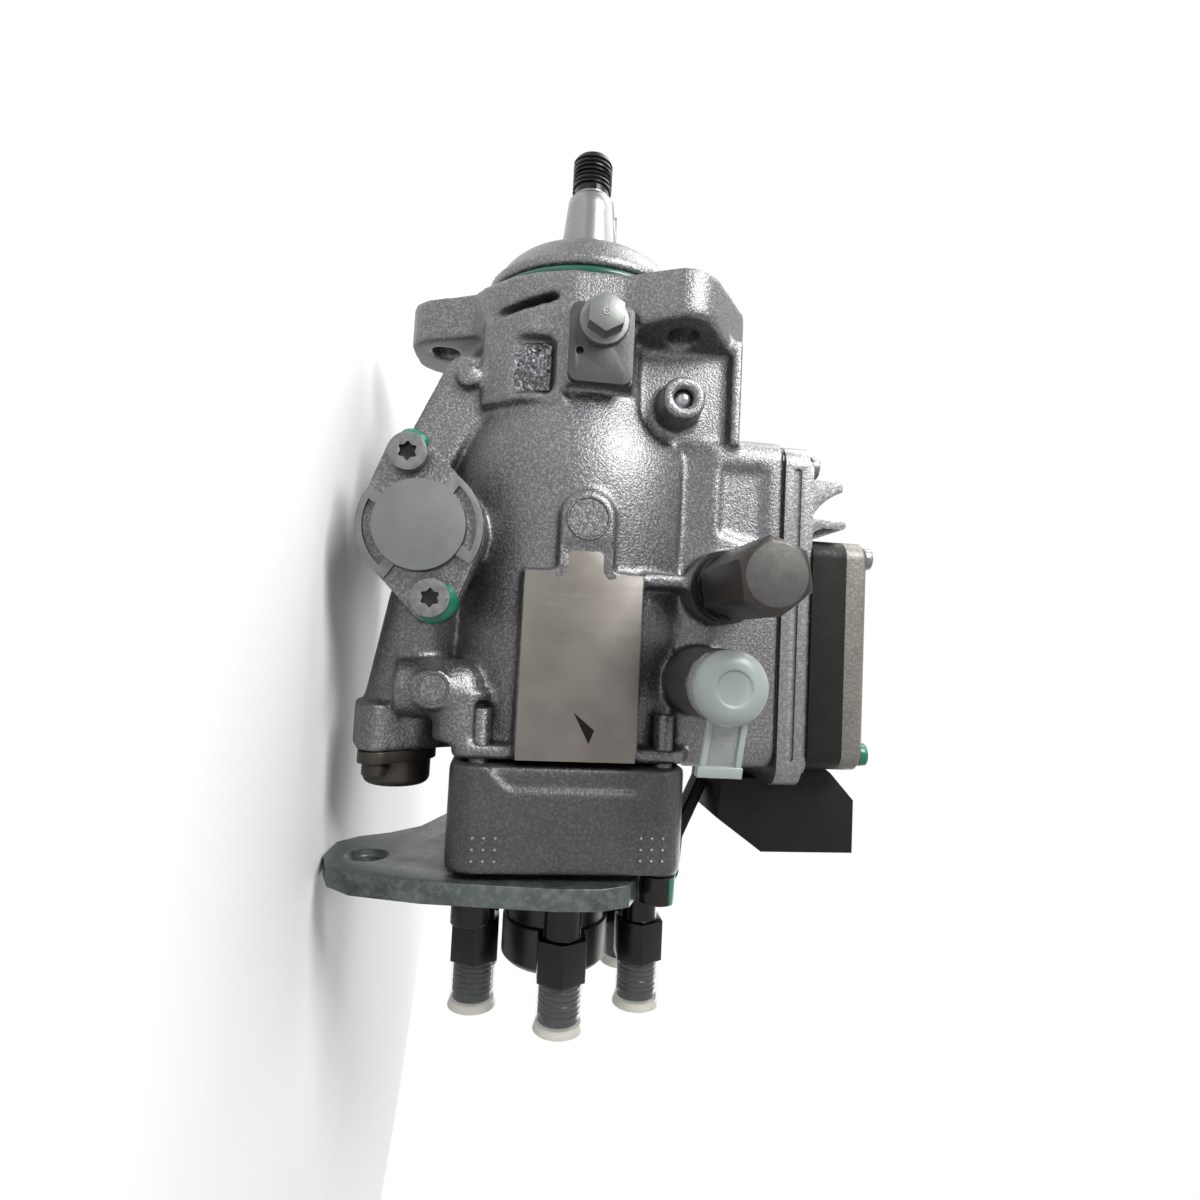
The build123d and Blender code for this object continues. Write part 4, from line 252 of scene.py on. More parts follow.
# Painted highlight on sharp edges: silver lacquer made paler and brighter there
EDGE_HIGHLIGHT_PAINT = Finish("silver_lacquer_with_painted_edge_highlight", "cast_aluminium", "#a3a3a4", 0.75, 0.34, Surface.CAST, 1.0, 0.1)
# Bare steel inside a screw's star drive, painted dark as the drive's shade
DRIVE_SHADE_PAINT = Finish("painted_shade_in_screw_drive", "zinc_screws", "#2b2a29", 0.6, 0.4)
# Silver lacquer on a die's smooth face: satin and even
SATIN_COVER = Finish("satin_lacquer_on_die_cast_face", "cast_aluminium", "#747573", 0.6, 0.42,
                     Surface.CAST, 1.1, 0.03, "#686967", 0.5, 6.0)
# Face-milled aluminium: warm satin grey with faint feed marks and dark specks where lacquer was cut
MILLED_PAD = Finish("face_milled_aluminium", "cast_aluminium", "#78726d", 0.7, 0.42,
                    Surface.MILLED, 0.9, 0.006, "#69635e", 0.7, 11.0, axis=2)
# Ground steel of the shaft's taper: bright, with fine rings round it
GROUND_SHAFT = Finish("ground_shaft_steel", "turned_steel", "#7d7c7d", 0.9, 0.34, Surface.TURNED, 0.4, 0.006,
                      "#77767a", 0.6, 8.0, axis=0)
# Rolled thread with black phosphate, oiled so that the crests glint
BLACK_THREAD = Finish("black_phosphated_thread", "turned_steel", "#1f1f21", 0.75, 0.3)
# Nitrile rubber in the green of pump seals, with a dull sheen
GREEN_RUBBER = Finish("green_nitrile_rubber", "green_rubber", "#0a4a37", 0.0, 0.26)
# Nitrile rubber: near black with a dull sheen
BLACK_RUBBER = Finish("black_nitrile_rubber", "black_rubber", "#141212", 0.0, 0.25)
# Turned bronze: warm and bright
BEARING_BRONZE = Finish("turned_bearing_bronze", "bronze", "#a3804c", 1.0, 0.3)
# Ground hardened steel: pale with sharp reflections
HARDENED_STEEL = Finish("ground_hardened_steel", "hard_steel", "#9c9ca0", 1.0, 0.24)
# Drawn wire: dark grey and smooth
SPRING_WIRE = Finish("drawn_spring_wire", "spring_steel", "#5b5b60", 1.0, 0.3)
# Moulded plastic: black and satin
SENSOR_PLASTIC = Finish("moulded_sensor_plastic", "sensor_plastic", "#1d1d1e", 0.0, 0.45)
# Zinc-plated screw steel: dull grey with darker flats
ZINC_SCREW = Finish("zinc_plated_screw_steel", "zinc_screws", "#7b7a7b", 0.85, 0.36, Surface.PLATED, 0.7, 0.09,
                    "#5c5b5e", 0.6, 2.5)
# Blackened screw steel, oiled: dark, with soft highlights
OILED_SCREW = Finish("oiled_black_screw_steel", "zinc_screws", "#2b2826", 0.7, 0.32, Surface.PLATED, 1.2, 0.02,
                     "#1c1a19", 0.6, 4.0)
# Iron where the head's paint is rubbed through: small pale dots
RUBBED_IRON = Finish("rubbed_iron_marks", "cast_iron", "#98989b", 0.8, 0.3)
# Brushed-on green sealing paint: thick, glossy and full
GREEN_PAINT = Finish("green_sealing_paint", "green_rubber", "#08664c", 0.0, 0.28, Surface.PLATED, 1.4, 0.06,
                     "#0a5f48", 0.8, 2.0)
# Olive chromate over steel: brown-black with a greenish sheen
OLIVE_CHROMATE = Finish("olive_chromated_steel", "olive_coating", "#3d3731", 0.5, 0.4, Surface.PLATED, 1.2, 0.02,
                        "#2b2824", 0.7, 6.0)
# Manganese phosphate on steel: matte dark grey with a paler bloom
DARK_PHOSPHATE = Finish("phosphated_valve_steel", "phosphated_steel", "#383330", 0.5, 0.36, Surface.PLATED, 0.8,
                        0.03, "#2c2725", 0.8, 4.0)
# The valve's end face, rubbed paler and duller
RUBBED_PHOSPHATE = Finish("rubbed_phosphate_face", "phosphated_steel", "#4f4d4b", 0.3, 0.6, Surface.PLATED, 0.9,
                          0.03, "#454340", 0.8, 2.5)
# Low-density polyethylene: milky, letting the metal behind it show faintly
MILKY_CAP = Finish("milky_polyethylene", "milky_plastic", "#aab2b0", 0.0, 0.3, opacity=0.68)
# The thin web beside the cap: nearly clear
CLEAR_TAB = Finish("thin_polyethylene_web", "milky_plastic", "#aeb2b2", 0.0, 0.22, opacity=0.25)
# The delivery caps' thin sleeves: clear enough for the black thread to show
CLEAR_SLEEVE = Finish("thin_polyethylene_sleeve", "milky_plastic", "#8f9393", 0.0, 0.12, opacity=0.13)
# The delivery caps' thick lips: warm and milky
MILKY_LIP = Finish("milky_polyethylene_lip", "milky_plastic", "#cbc6ba", 0.0, 0.3, opacity=0.74)
# Die-cast aluminium with its lacquer: smoother than the sand casting
DIE_CAST = Finish("lacquered_die_cast_aluminium", "pressed_aluminium", "#777678", 0.78, 0.38, Surface.CAST, 0.9,
                  0.12, "#6f6b6d", 0.6, 14.0, "#a0a0a2", 0.4)
# The cover's lacquer has a warmer tone where it is thin
WARM_COVER = Finish("thinly_lacquered_cover", "pressed_aluminium", "#6c6963", 0.5, 0.46, Surface.CAST, 1.0,
                    0.12, "#5c5954", 0.7, 9.0, "#94918a", 0.3)
# Glass-filled nylon: black with a dull grained skin
BLACK_NYLON = Finish("moulded_black_nylon", "black_plastic", "#100f0d", 0.0, 0.5, Surface.MOULDED, 0.9, 0.03,
                     "#181613", 0.6, 8.0, specular=0.2)
# Grey paint over iron: darker and rougher than the housing
PAINTED_IRON = Finish("grey_paint_on_cast_iron", "cast_iron", "#484848", 0.6, 0.4, Surface.CAST, 0.8, 0.2,
                      "#403f40", 0.6, 14.0, "#666667", 0.45)
# Bright zinc on rolled plate: bluish, with darker scuffs
ZINC_PLATE = Finish("zinc_plated_bracket_steel", "zinc_plate", "#5a5f5f", 0.72, 0.4, Surface.PLATED, 2.2, 0.05,
                    "#3e4242", 0.8, 9.0, "#858b8c", 0.3)
# Coated can: brown-black and satin, with darker scuffs
SOLENOID_CAN = Finish("coated_solenoid_can", "solenoid_coating", "#3b3938", 0.6, 0.4, Surface.PLATED, 1.0, 0.02,
                      "#2c2b2a", 0.6, 7.0)
# Black oxide, oiled: near black with sharp highlights
BLACK_OXIDE = Finish("oiled_black_oxide_steel", "black_steel", "#0b0a0a", 0.5, 0.24, coat=0.1)
# The studio floor's matt white paint
FLOOR_PAINT = Finish("matt_white_floor_paint", "cast_aluminium", "#f2f2f2", 0.0, 0.9)


# Mesh helpers


def new_object(name: str, data: ID) -> Object:
    """Puts a mesh, lamp or camera into the scene at the origin."""
    made = bpy.data.objects.new(name, data)
    bpy.context.scene.collection.objects.link(made)
    return made


def shaded(mesh: Mesh, angle: float) -> Mesh:
    """Shades a mesh smooth, with edges sharper than angle in degrees kept sharp."""
    mesh.shade_smooth()
    mesh.set_sharp_from_angle(angle=math.radians(angle))
    return mesh


def merged(node: str) -> BMesh:
    """Copies a CAD node into a bmesh, which the caller frees, with its doubled corners merged."""
    made = bmesh.new()
    made.from_mesh(frame["nodes"][node].data)
    bmesh.ops.remove_doubles(made, verts=made.verts, dist=WELD)
    return made


def to_mesh(source: BMesh, name: str) -> Mesh:
    """Writes a bmesh to a new mesh and frees it."""
    mesh = bpy.data.meshes.new(name)
    source.to_mesh(mesh)
    source.free()
    return mesh


def evaluated(holder: Object) -> Mesh:
    """Applies an object's modifiers and returns the mesh, removing the object.

    Args:
        holder: An object at the origin with live modifiers.

    Returns:
        A plain mesh.
    """
    depsgraph = bpy.context.evaluated_depsgraph_get()
    mesh = bpy.data.meshes.new_from_object(holder.evaluated_get(depsgraph))
    bpy.data.objects.remove(holder)
    return mesh


def broken(name: str, mesh: Mesh, width: float, angle: float, segments: int = 2) -> Mesh:
    """Breaks a mesh's sharp edges with a small bevel.

    Args:
        name: The mesh's name.
        mesh: The mesh.
        width: The bevel's width in millimetres.
        angle: Edges sharper than this are broken, in degrees.
        segments: Steps across each broken edge.

    Returns:
        The mesh with its edges broken.
    """
    holder = new_object(name + "_holder", mesh)
    bevel = holder.modifiers.new("break", "BEVEL")
    bevel.width = width * MM
    bevel.segments = segments
    bevel.limit_method = "ANGLE"
    bevel.angle_limit = math.radians(angle)
    return evaluated(holder)


def relax(mesh: Mesh, passes: int, hold: Callable[[np.ndarray], np.ndarray]) -> None:
    """Smooths a mesh by moving each corner towards its neighbours, as a casting's edges are rounded.

    Args:
        mesh: The mesh, changed in place.
        passes: How many rounds of smoothing.
        hold: Gives each corner's share of movement, 0 to 1, from the corners in millimetres.
    """
    count = len(mesh.vertices)
    co = np.empty(count * 3, np.float32)
    mesh.vertices.foreach_get("co", co)
    co = co.reshape(-1, 3).astype(float)
    ends = np.empty(len(mesh.edges) * 2, np.int32)
    mesh.edges.foreach_get("vertices", ends)
    ends = ends.reshape(-1, 2)
    degree = np.bincount(ends.ravel(), minlength=count)[:, None]
    share = hold(co / MM)[:, None] * 0.5
    for _ in range(passes):
        total = np.stack([np.bincount(ends[:, 0], co[ends[:, 1], k], count)
                          + np.bincount(ends[:, 1], co[ends[:, 0], k], count) for k in range(3)], axis=1)
        co += share * (total / np.maximum(degree, 1) - co)
    mesh.vertices.foreach_set("co", co.astype(np.float32).ravel())
    mesh.update()


@dataclass
class Skin:
    """A casting's skin: a CAD node remade on a fine grid, smoothed, then thinned.

    Args:
        voxel: Grid size in millimetres.
        passes: Rounds of smoothing.
        faces: The most triangles the skin keeps.
        hold: Gives each corner's share of movement.
    """

    voxel: float = 1.0
    passes: int = 8
    faces: int = 180_000
    hold: Callable[[np.ndarray], np.ndarray] = lambda co: np.ones(len(co))

    def cast(self, name: str) -> Mesh:
        """Remakes a CAD node and returns the finished mesh."""
        holder = new_object(name + "_holder", to_mesh(merged(name), name))
        fuse = holder.modifiers.new("fuse", "REMESH")
        fuse.mode = "VOXEL"
        fuse.voxel_size = self.voxel * MM
        mesh = evaluated(holder)
        relax(mesh, self.passes, self.hold)
        triangles = sum(len(p.vertices) - 2 for p in mesh.polygons)
        if triangles > self.faces:
            holder = new_object(name + "_thin", mesh)
            thin = holder.modifiers.new("thin", "DECIMATE")
            thin.ratio = self.faces / triangles
            mesh = evaluated(holder)
        log.info("%s: %d triangles from %d", name, sum(len(p.vertices) - 2 for p in mesh.polygons), triangles)
        return shaded(mesh, 50)


def install(name: str, mesh: Mesh, finish: Finish, stands_for: Sequence[str] = (), body: str = "casing") -> None:
    """Makes a finished piece at the origin, with its material, its body and the nodes it stands for.

    Args:
        name: The piece's name.
        mesh: Its mesh, which may have its materials already.
        finish: Its finish.
        stands_for: CAD nodes it replaces.
        body: The CAD body it rides on.
    """
    made = new_object(name, mesh)
    if not mesh.materials:
        mesh.materials.append(finish.material())
    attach(made, body)
    if stands_for:
        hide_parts(*stands_for)
    log.info("%s on %s", name, body)


def body_of(node: str) -> str:
    """Names the CAD body that a node belongs to."""
    return next(body for body, names in frame["record"]["behaviour"]["bodies"].items() if node in names)


Zone = tuple[Finish, Callable[[Vector, Vector], bool]]


def softened(node: str, finish: Finish, width: float, angle: float = 35.0, zones: Sequence[Zone] = (),
             segments: int = 2) -> None:
    """Replaces a CAD node with a copy whose edges are broken by a small bevel.

    Args:
        node: The node, whose body the copy rides on.
        finish: Its finish.
        width: The bevel's width in millimetres.
        angle: Edges sharper than this are broken, in degrees.
        zones: Other finishes, each with a test of a face's middle in millimetres and its normal.
        segments: Steps across each broken edge.
    """
    source = merged(node)
    bmesh.ops.dissolve_limit(source, angle_limit=math.radians(0.6), verts=source.verts, edges=source.edges)
    mesh = shaded(broken(node, to_mesh(source, node), width, angle, segments), 34)
    mesh.materials.append(finish.material())
    for number, (other, test) in enumerate(zones, start=1):
        mesh.materials.append(other.material())
        for face in mesh.polygons:
            if test(face.center / MM, face.normal):
                face.material_index = number
    install(node + "_finished", mesh, finish, [node], body_of(node))


def dress(names: Iterable[str], finish: Finish) -> None:
    """Gives CAD nodes a finish where they stay as they are."""
    for name in names:
        held = frame["nodes"][name]
        held.data.materials.clear()
        held.data.materials.append(finish.material())


def strips(source: BMesh, rows: Sequence[Sequence[BMVert]], around: bool = True) -> list[BMFace]:
    """Joins each row of corners to the next with faces.

    Args:
        source: The bmesh that holds the corners.
        rows: The rows. A row of one corner is a pole.
        around: Whether each row's end joins its start.

    Returns:
        The faces.
    """
    made = []
    for near, far in zip(rows, rows[1:]):
        count = max(len(near), len(far))
        for k in range(count if around else count - 1):
            n = (k + 1) % count
            corners = (near[k % len(near)], near[n % len(near)], far[n % len(far)], far[k % len(far)])
            made.append(source.faces.new(list(dict.fromkeys(corners))))
    return made


def solid_turned(source: BMesh, centre: tuple[float, float], profile: Outline,
                 sides: int = 64, ring: bool = False) -> None:
    """Adds a closed solid turned round a line along Y.

    Args:
        source: The bmesh that gets it.
        centre: The line's X and Z, in millimetres.
        profile: Radius and Y of each step, from the front's middle to the back's middle or round a ring's section.
        sides: Number of sides.
        ring: Whether the profile closes on itself.
    """
    rows = []
    for radius, y in profile:
        row = []
        for k in range(sides if radius > 0 else 1):
            a = math.tau * k / sides
            place = (centre[0] + radius * math.cos(a), y, centre[1] + radius * math.sin(a))
            row.append(source.verts.new(Vector(place) * MM))
        rows.append(row)
    bmesh.ops.recalc_face_normals(source, faces=strips(source, rows + rows[:1] if ring else rows))


def lay_rings(name: str, rings: Iterable[tuple], finish: Finish) -> None:
    """Makes one piece of the casing from closed rings round lines along Y.

    Args:
        name: The piece's name.
        rings: Middle, radius and section radius of each, in millimetres, and its sides where it is small.
        finish: Its finish.
    """
    source = bmesh.new()
    angles = [math.tau * j / 6 for j in range(6)]
    for (x, y, z), radius, tube, *sides in rings:
        section = [(radius + tube * math.cos(b), y + tube * math.sin(b)) for b in angles]
        solid_turned(source, (x, z), section, *(sides or [48]), ring=True)
    install(name, shaded(to_mesh(source, name), 60), finish)


def solid_prism(source: BMesh, outline: Outline, front: float, back: float) -> None:
    """Adds a closed plate with an outline in X and Z.

    Args:
        source: The bmesh that gets it.
        outline: Its corners in order, in millimetres.
        front: Y of its front face.
        back: Y of its back face.
    """
    near = [source.verts.new(Vector((x, front, z)) * MM) for x, z in outline]
    far = [source.verts.new(Vector((x, back, z)) * MM) for x, z in outline]
    made = [source.faces.new(near), source.faces.new(list(reversed(far)))]
    for k in range(len(near)):
        n = (k + 1) % len(near)
        made.append(source.faces.new((near[k], near[n], far[n], far[k])))
    bmesh.ops.recalc_face_normals(source, faces=made)


def paint_bead(source: BMesh, centre: Point, section: Outline, start: float,
               end: float, steps: int = 26) -> None:
    """Adds a closed crescent of thick paint round a screw that faces -Y.

    Args:
        source: The bmesh that gets it.
        centre: The screw's seat, in millimetres.
        section: Radius and height of the bead's outline, in order round it.
        start: The angle where it starts, in degrees from +Z towards -X.
        end: The angle where it ends.
        steps: Steps along it.
    """
    rows = []
    for k in range(steps + 1):
        t = k / steps
        a = math.radians(start + (end - start) * t)
        swell = math.sqrt(max(math.sin(math.pi * (0.04 + 0.92 * t)), 0.0)) * (1 + 0.08 * math.sin(11 * t))
        middle = section[0][0]
        row = []
        for radius, height in section:
            r = middle + (radius - middle) * swell
            place = (centre[0] - r * math.sin(a), centre[1] - height * swell, centre[2] + r * math.cos(a))
            row.append(source.verts.new(Vector(place) * MM))
        rows.append(row)
    made = strips(source, rows)
    made += [source.faces.new(rows[0]), source.faces.new(list(reversed(rows[-1])))]
    bmesh.ops.recalc_face_normals(source, faces=made)


# Repeated pieces


def new_tree(name: str, floats: Sequence[str], vectors: Sequence[str] = (),
             counts: Sequence[str] = ()) -> tuple[NodeTree, NodeOutputs]:
    """Starts a geometry node tree with named sizes.

    Args:
        name: The tree's name.
        floats: Names of its lengths.
        vectors: Names of its directions and places.
        counts: Names of its whole numbers.

    Returns:
        The tree and its input sockets.
    """
    tree = bpy.data.node_groups.new(name, "GeometryNodeTree")
    for kind, names in (("Geometry", ["Places"]), ("Float", floats), ("Vector", vectors), ("Int", counts)):
        for label in names:
            tree.interface.new_socket(label, in_out="INPUT", socket_type="NodeSocket" + kind)
    tree.interface.new_socket("Pieces", in_out="OUTPUT", socket_type="NodeSocketGeometry")
    return tree, add(tree, "NodeGroupInput").outputs


def joined(tree: NodeTree, sockets: Sequence[NodeSocket]) -> NodeSocket:
    """Joins geometry and merges its doubled corners."""
    node = add(tree, "GeometryNodeJoinGeometry")
    for socket in sockets:
        tree.links.new(socket, node.inputs[0])
    return add(tree, "GeometryNodeMergeByDistance", {"Geometry": node.outputs[0], "Distance": WELD}).outputs[0]


def finish_tree(tree: NodeTree, shape: NodeSocket, finish: Finish) -> NodeTree:
    """Ends a tree with real geometry that has its material."""
    real = add(tree, "GeometryNodeRealizeInstances", {"Geometry": shape})
    dressed = add(tree, "GeometryNodeSetMaterial", {"Geometry": real.outputs[0], "Material": finish.material()})
    add(tree, "NodeGroupOutput", {"Pieces": dressed.outputs[0]})
    return tree


def raised(tree: NodeTree, shape: NodeSocket, height: NodeSocket) -> NodeSocket:
    """Moves geometry up by a height."""
    up = add(tree, "ShaderNodeCombineXYZ", {"Z": height})
    return add(tree, "GeometryNodeTransform", {"Geometry": shape, "Translation": up.outputs[0]}).outputs[0]


def screw_tree(finish: Finish) -> NodeTree:
    """Builds the tree that puts a star-drive screw head on each corner of a mesh."""
    tree, given = new_tree("star_screw_heads", ("Head Radius", "Head Height", "Drive Radius", "Drive Depth"),
                           ("Direction",))
    rim = add(tree, "GeometryNodeCurvePrimitiveCircle", {"Resolution": 40, "Radius": given["Head Radius"]}).outputs[0]
    inner = add(tree, "ShaderNodeMath", {0: given["Drive Radius"], 1: 0.66}, operation="MULTIPLY").outputs[0]
    star = add(tree, "GeometryNodeCurveStar",
               {"Points": 6, "Inner Radius": inner, "Outer Radius": given["Drive Radius"]}).outputs["Curve"]
    fillet = add(tree, "ShaderNodeMath", {0: given["Drive Radius"], 1: 0.13}, operation="MULTIPLY").outputs[0]
    star = add(tree, "GeometryNodeFilletCurve", {"Curve": star, "Radius": fillet, "Limit Radius": True, "Count": 3},
               mode="POLY").outputs[0]
    level = add(tree, "ShaderNodeMath", {0: given["Head Height"], 1: given["Drive Depth"]},
                operation="SUBTRACT").outputs[0]
    both = add(tree, "GeometryNodeJoinGeometry")
    tree.links.new(rim, both.inputs[0])
    tree.links.new(star, both.inputs[0])
    ring = add(tree, "GeometryNodeFillCurve", {"Curve": both.outputs[0]}, mode="TRIANGLES").outputs[0]
    upper = add(tree, "GeometryNodeExtrudeMesh", {"Mesh": ring, "Offset Scale": given["Drive Depth"],
                                                  "Individual": False}).outputs["Mesh"]
    floor = add(tree, "GeometryNodeFillCurve", {"Curve": star}, mode="TRIANGLES").outputs[0]
    disc = add(tree, "GeometryNodeFillCurve", {"Curve": rim}, mode="TRIANGLES").outputs[0]
    lower = add(tree, "GeometryNodeExtrudeMesh", {"Mesh": disc, "Offset Scale": level, "Individual": False})
    wall = add(tree, "GeometryNodeDeleteGeometry", {"Geometry": lower.outputs["Mesh"],
                                                    "Selection": lower.outputs["Top"]}, domain="FACE").outputs[0]
    seat = add(tree, "GeometryNodeFlipFaces", {"Mesh": disc}).outputs[0]
    head = joined(tree, (raised(tree, upper, level), raised(tree, floor, level), wall, seat))
    turn = add(tree, "FunctionNodeAlignRotationToVector", {"Vector": given["Direction"]}, axis="Z").outputs[0]
    heads = add(tree, "GeometryNodeInstanceOnPoints", {"Points": given["Places"], "Instance": head, "Rotation": turn})
    return finish_tree(tree, heads.outputs[0], finish)


def ridge_tree(finish: Finish) -> NodeTree:
    """Builds the tree that winds a thread's ridge round a line along +X from each corner of a mesh."""
    tree, given = new_tree("thread_ridges", ("Radius", "Ridge", "Length"), (), ("Turns",))
    helix = add(tree, "GeometryNodeCurveSpiral", {"Resolution": 36, "Rotations": given["Turns"],
                                                  "Start Radius": given["Radius"], "End Radius": given["Radius"],
                                                  "Height": given["Length"]}).outputs[0]
    section = add(tree, "GeometryNodeCurvePrimitiveCircle", {"Resolution": 6, "Radius": given["Ridge"]}).outputs[0]
    ridge = add(tree, "GeometryNodeCurveToMesh", {"Curve": helix, "Profile Curve": section, "Fill Caps": True})
    laid = add(tree, "GeometryNodeTransform",
               {"Geometry": ridge.outputs[0], "Rotation": (0.0, math.pi / 2, 0.0)}).outputs[0]
    spread = add(tree, "GeometryNodeInstanceOnPoints", {"Points": given["Places"], "Instance": laid})
    return finish_tree(tree, spread.outputs[0], finish)


def bead_tree(finish: Finish) -> NodeTree:
    """Builds the tree that lays a small square grid of round marks round each corner of a mesh."""
    tree, given = new_tree("cast_marks", ("Mark Radius", "Spacing"), (), ("Count",))
    gaps = add(tree, "ShaderNodeMath", {0: given["Count"], 1: 1.0}, operation="SUBTRACT").outputs[0]
    side = add(tree, "ShaderNodeMath", {0: gaps, 1: given["Spacing"]}, operation="MULTIPLY").outputs[0]
    grid = add(tree, "GeometryNodeMeshGrid", {"Size X": side, "Size Y": side, "Vertices X": given["Count"],
                                              "Vertices Y": given["Count"]}).outputs[0]
    laid = add(tree, "GeometryNodeTransform", {"Geometry": grid, "Rotation": (math.pi / 2, 0.0, 0.0)}).outputs[0]
    mark = add(tree, "GeometryNodeMeshUVSphere", {"Segments": 8, "Rings": 5, "Radius": given["Mark Radius"]}).outputs[0]
    block = add(tree, "GeometryNodeInstanceOnPoints", {"Points": laid, "Instance": mark}).outputs[0]
    spread = add(tree, "GeometryNodeInstanceOnPoints", {"Points": given["Places"], "Instance": block})
    return finish_tree(tree, spread.outputs[0], finish)


def grown(name: str, tree: NodeTree, places: Sequence[Point], values: dict[str, object],
          edge: float = 0.0) -> Mesh:
    """Runs a tree on some places and returns the plain mesh.

    Args:
        name: The mesh's name.
        tree: A tree from new_tree.
        places: The corners that the tree works from, in millimetres.
        values: Input names and their values, in metres where they are lengths.
        edge: Width of a bevel on the result's sharp edges in millimetres, or 0.

    Returns:
        A plain mesh of every copy.
    """
    mesh = bpy.data.meshes.new(name)
    mesh.from_pydata([Vector(p) * MM for p in places], [], [])
    holder = new_object(name + "_places", mesh)
    nodes = holder.modifiers.new("grow", "NODES")
    nodes.node_group = tree
    for item in tree.interface.items_tree:
        if item.in_out == "INPUT" and item.name in values:
            nodes[item.identifier] = values[item.name]
    made = evaluated(holder)
    if edge:
        made = broken(name, made, edge, 50)
    made.name = name
    return shaded(made, 32)


def wound(name: str, places: Sequence[Point], radius: float, ridge: float, length: float, pitch: float,
          finish: Finish) -> Mesh:
    """Winds a thread's ridge along +X from each place.

    Args:
        name: The mesh's name.
        places: Where the threads start, in millimetres.
        radius: Radius to the ridge's middle.
        ridge: Radius of the ridge's section.
        length: The most that the thread runs, which whole turns fill.
        pitch: The thread's pitch.
        finish: Its finish.

    Returns:
        The ridges' mesh.
    """
    turns = int(length / pitch)
    return grown(name, ridge_tree(finish), places, {"Radius": radius * MM, "Ridge": ridge * MM,
                                                    "Length": turns * pitch * MM, "Turns": turns})


# Sub-assemblies


@dataclass
class CastHousing:
    """The one-piece casting, with its milled pad and cast marks.

    Args:
        pad_x: The pad's ends along the shaft, in millimetres.
        pad_z: The pad's lower and upper edge.
        pad_y: The milled face.
        tab: Length and half width of the milled tab towards the flange.
        nick: Three corners, X and Z, of the dark nick on the milled face.
        circles: Middle, radius and section radius of each raised cast circle.
        pocket: Ends in X, edges in Z and heights in Y at those edges of the flange's cast pocket.
        bore_r: Inside this radius, behind bore_x, the skin keeps its seats.
        bore_x: Where the shaft's bore starts.
        nose_x: In front of this the pilot nose keeps its size.
        unit_z: Above this the control unit's seat keeps its size.
        head_x: Behind this the head's seat keeps its size.
        skin: How the casting's skin is made.
    """

    pad_x: tuple[float, float] = (89.4, 142.0)
    pad_z: tuple[float, float] = (-16.9, 16.5)
    pad_y: float = -45.0
    tab: tuple[float, float] = (8.4, 6.6)
    nick: Outline = ((128.4, -1.4), (137.0, 3.2), (133.2, 4.6))
    circles: tuple[tuple[tuple[float, float, float], float, float], ...] = (
        ((74.0, -46.5, 0.0), 5.9, 0.42),
        ((123.6, -39.5, -40.6), 4.2, 0.4),
    )
    pocket: tuple[tuple[float, float], ...] = ((20.4, 35.4), (-24.6, -12.2), (-35.9, -33.9))
    bore_r: float = 34.8
    bore_x: float = -11.0
    nose_x: float = -9.5
    unit_z: float = 59.5
    head_x: float = 141.5
    skin: Skin = field(default_factory=lambda: Skin(voxel=0.9, passes=5, faces=192_000))

    def _hold(self, co: np.ndarray) -> np.ndarray:
        """Keeps bores and seats where other pieces fit, and lets the rest round off."""
        share = np.ones(len(co))
        x, radius = co[:, 0], np.hypot(co[:, 1], co[:, 2])
        share[(radius < self.bore_r) & (x > self.bore_x)] = 0.15
        share[x < self.nose_x] = 0.25
        share[(co[:, 2] > self.unit_z) | (x > self.head_x)] = 0.35
        return share

    def build(self) -> None:
        """Makes the casting's skin, the milled face and the raised marks."""
        self.skin.hold = self._hold
        install("housing_casting", self.skin.cast("housing"), SILVER_CASTING, ["housing"])
        install("milled_pad", self._pad(), MILLED_PAD)
        install("pocket_floor", self._pocket_floor(), ROUGH_SKIN)
        lay_rings("cast_circles", self.circles, SILVER_CASTING)

    def _pad(self) -> Mesh:
        """Makes the milled face's plate with its tab, its small corner rounds and the nick, painted near black as
        shade.
        """
        (x0, x1), (z0, z1), (tab, half) = self.pad_x, self.pad_z, self.tab
        outline = ((x0, z0), (x0, -half), (x0 - tab, -half), (x0 - tab, half), (x0, half), (x0, z1), (x1, z1),
                   (x1, z0))
        plate = bmesh.new()
        solid_prism(plate, outline, self.pad_y - 0.05, self.pad_y + 2.0)
        solid_prism(plate, self.nick, self.pad_y - 0.13, self.pad_y + 0.4)
        mesh = shaded(broken("pad", to_mesh(plate, "milled_pad"), 0.05, 30), 40)
        mesh.materials.append(MILLED_PAD.material())
        mesh.materials.append(NICK_SHADE_PAINT.material())
        for face in mesh.polygons:
            at = face.center / MM
            inside = self.nick[0][0] <= at.x <= self.nick[1][0] and self.nick[0][1] <= at.z <= self.nick[2][1]
            # The nick's front face gets the painted shade
            face.material_index = int(inside and at.y < self.pad_y - 0.07)
        return mesh

    def _pocket_floor(self) -> Mesh:
        """Lays the lumpy floor that the sand left in the flange's cast pocket."""
        (x0, x1), (z0, z1), (low, high) = self.pocket
        across, along = 44, 40
        made = bmesh.new()
        rows = []
        for i in range(along + 1):
            row = []
            for j in range(across + 1):
                u, v = i / along, j / across
                rim = min(u, 1 - u, v, 1 - v)
                x, z = x0 + (x1 - x0) * u, z0 + (z1 - z0) * v
                lump = noise.noise(Vector((x, z, 0.0)) * 0.55) + 0.6 * noise.noise(Vector((x, z, 7.0)) * 1.3)
                rise = (0.45 + 0.75 * lump) * min(rim * 9, 1.0) if rim > 0 else -1.6
                y = high + (low - high) * v - rise
                row.append(made.verts.new(Vector((x, y, z)) * MM))
            rows.append(row)
        strips(made, rows, around=False)
        rim = rows[0] + [r[-1] for r in rows[1:]] + list(reversed(rows[-1][:-1])) + [r[0] for r in rows[-2:0:-1]]
        made.faces.new(rim)
        bmesh.ops.recalc_face_normals(made, faces=made.faces)
        return shaded(to_mesh(made, "pocket_floor"), 60)


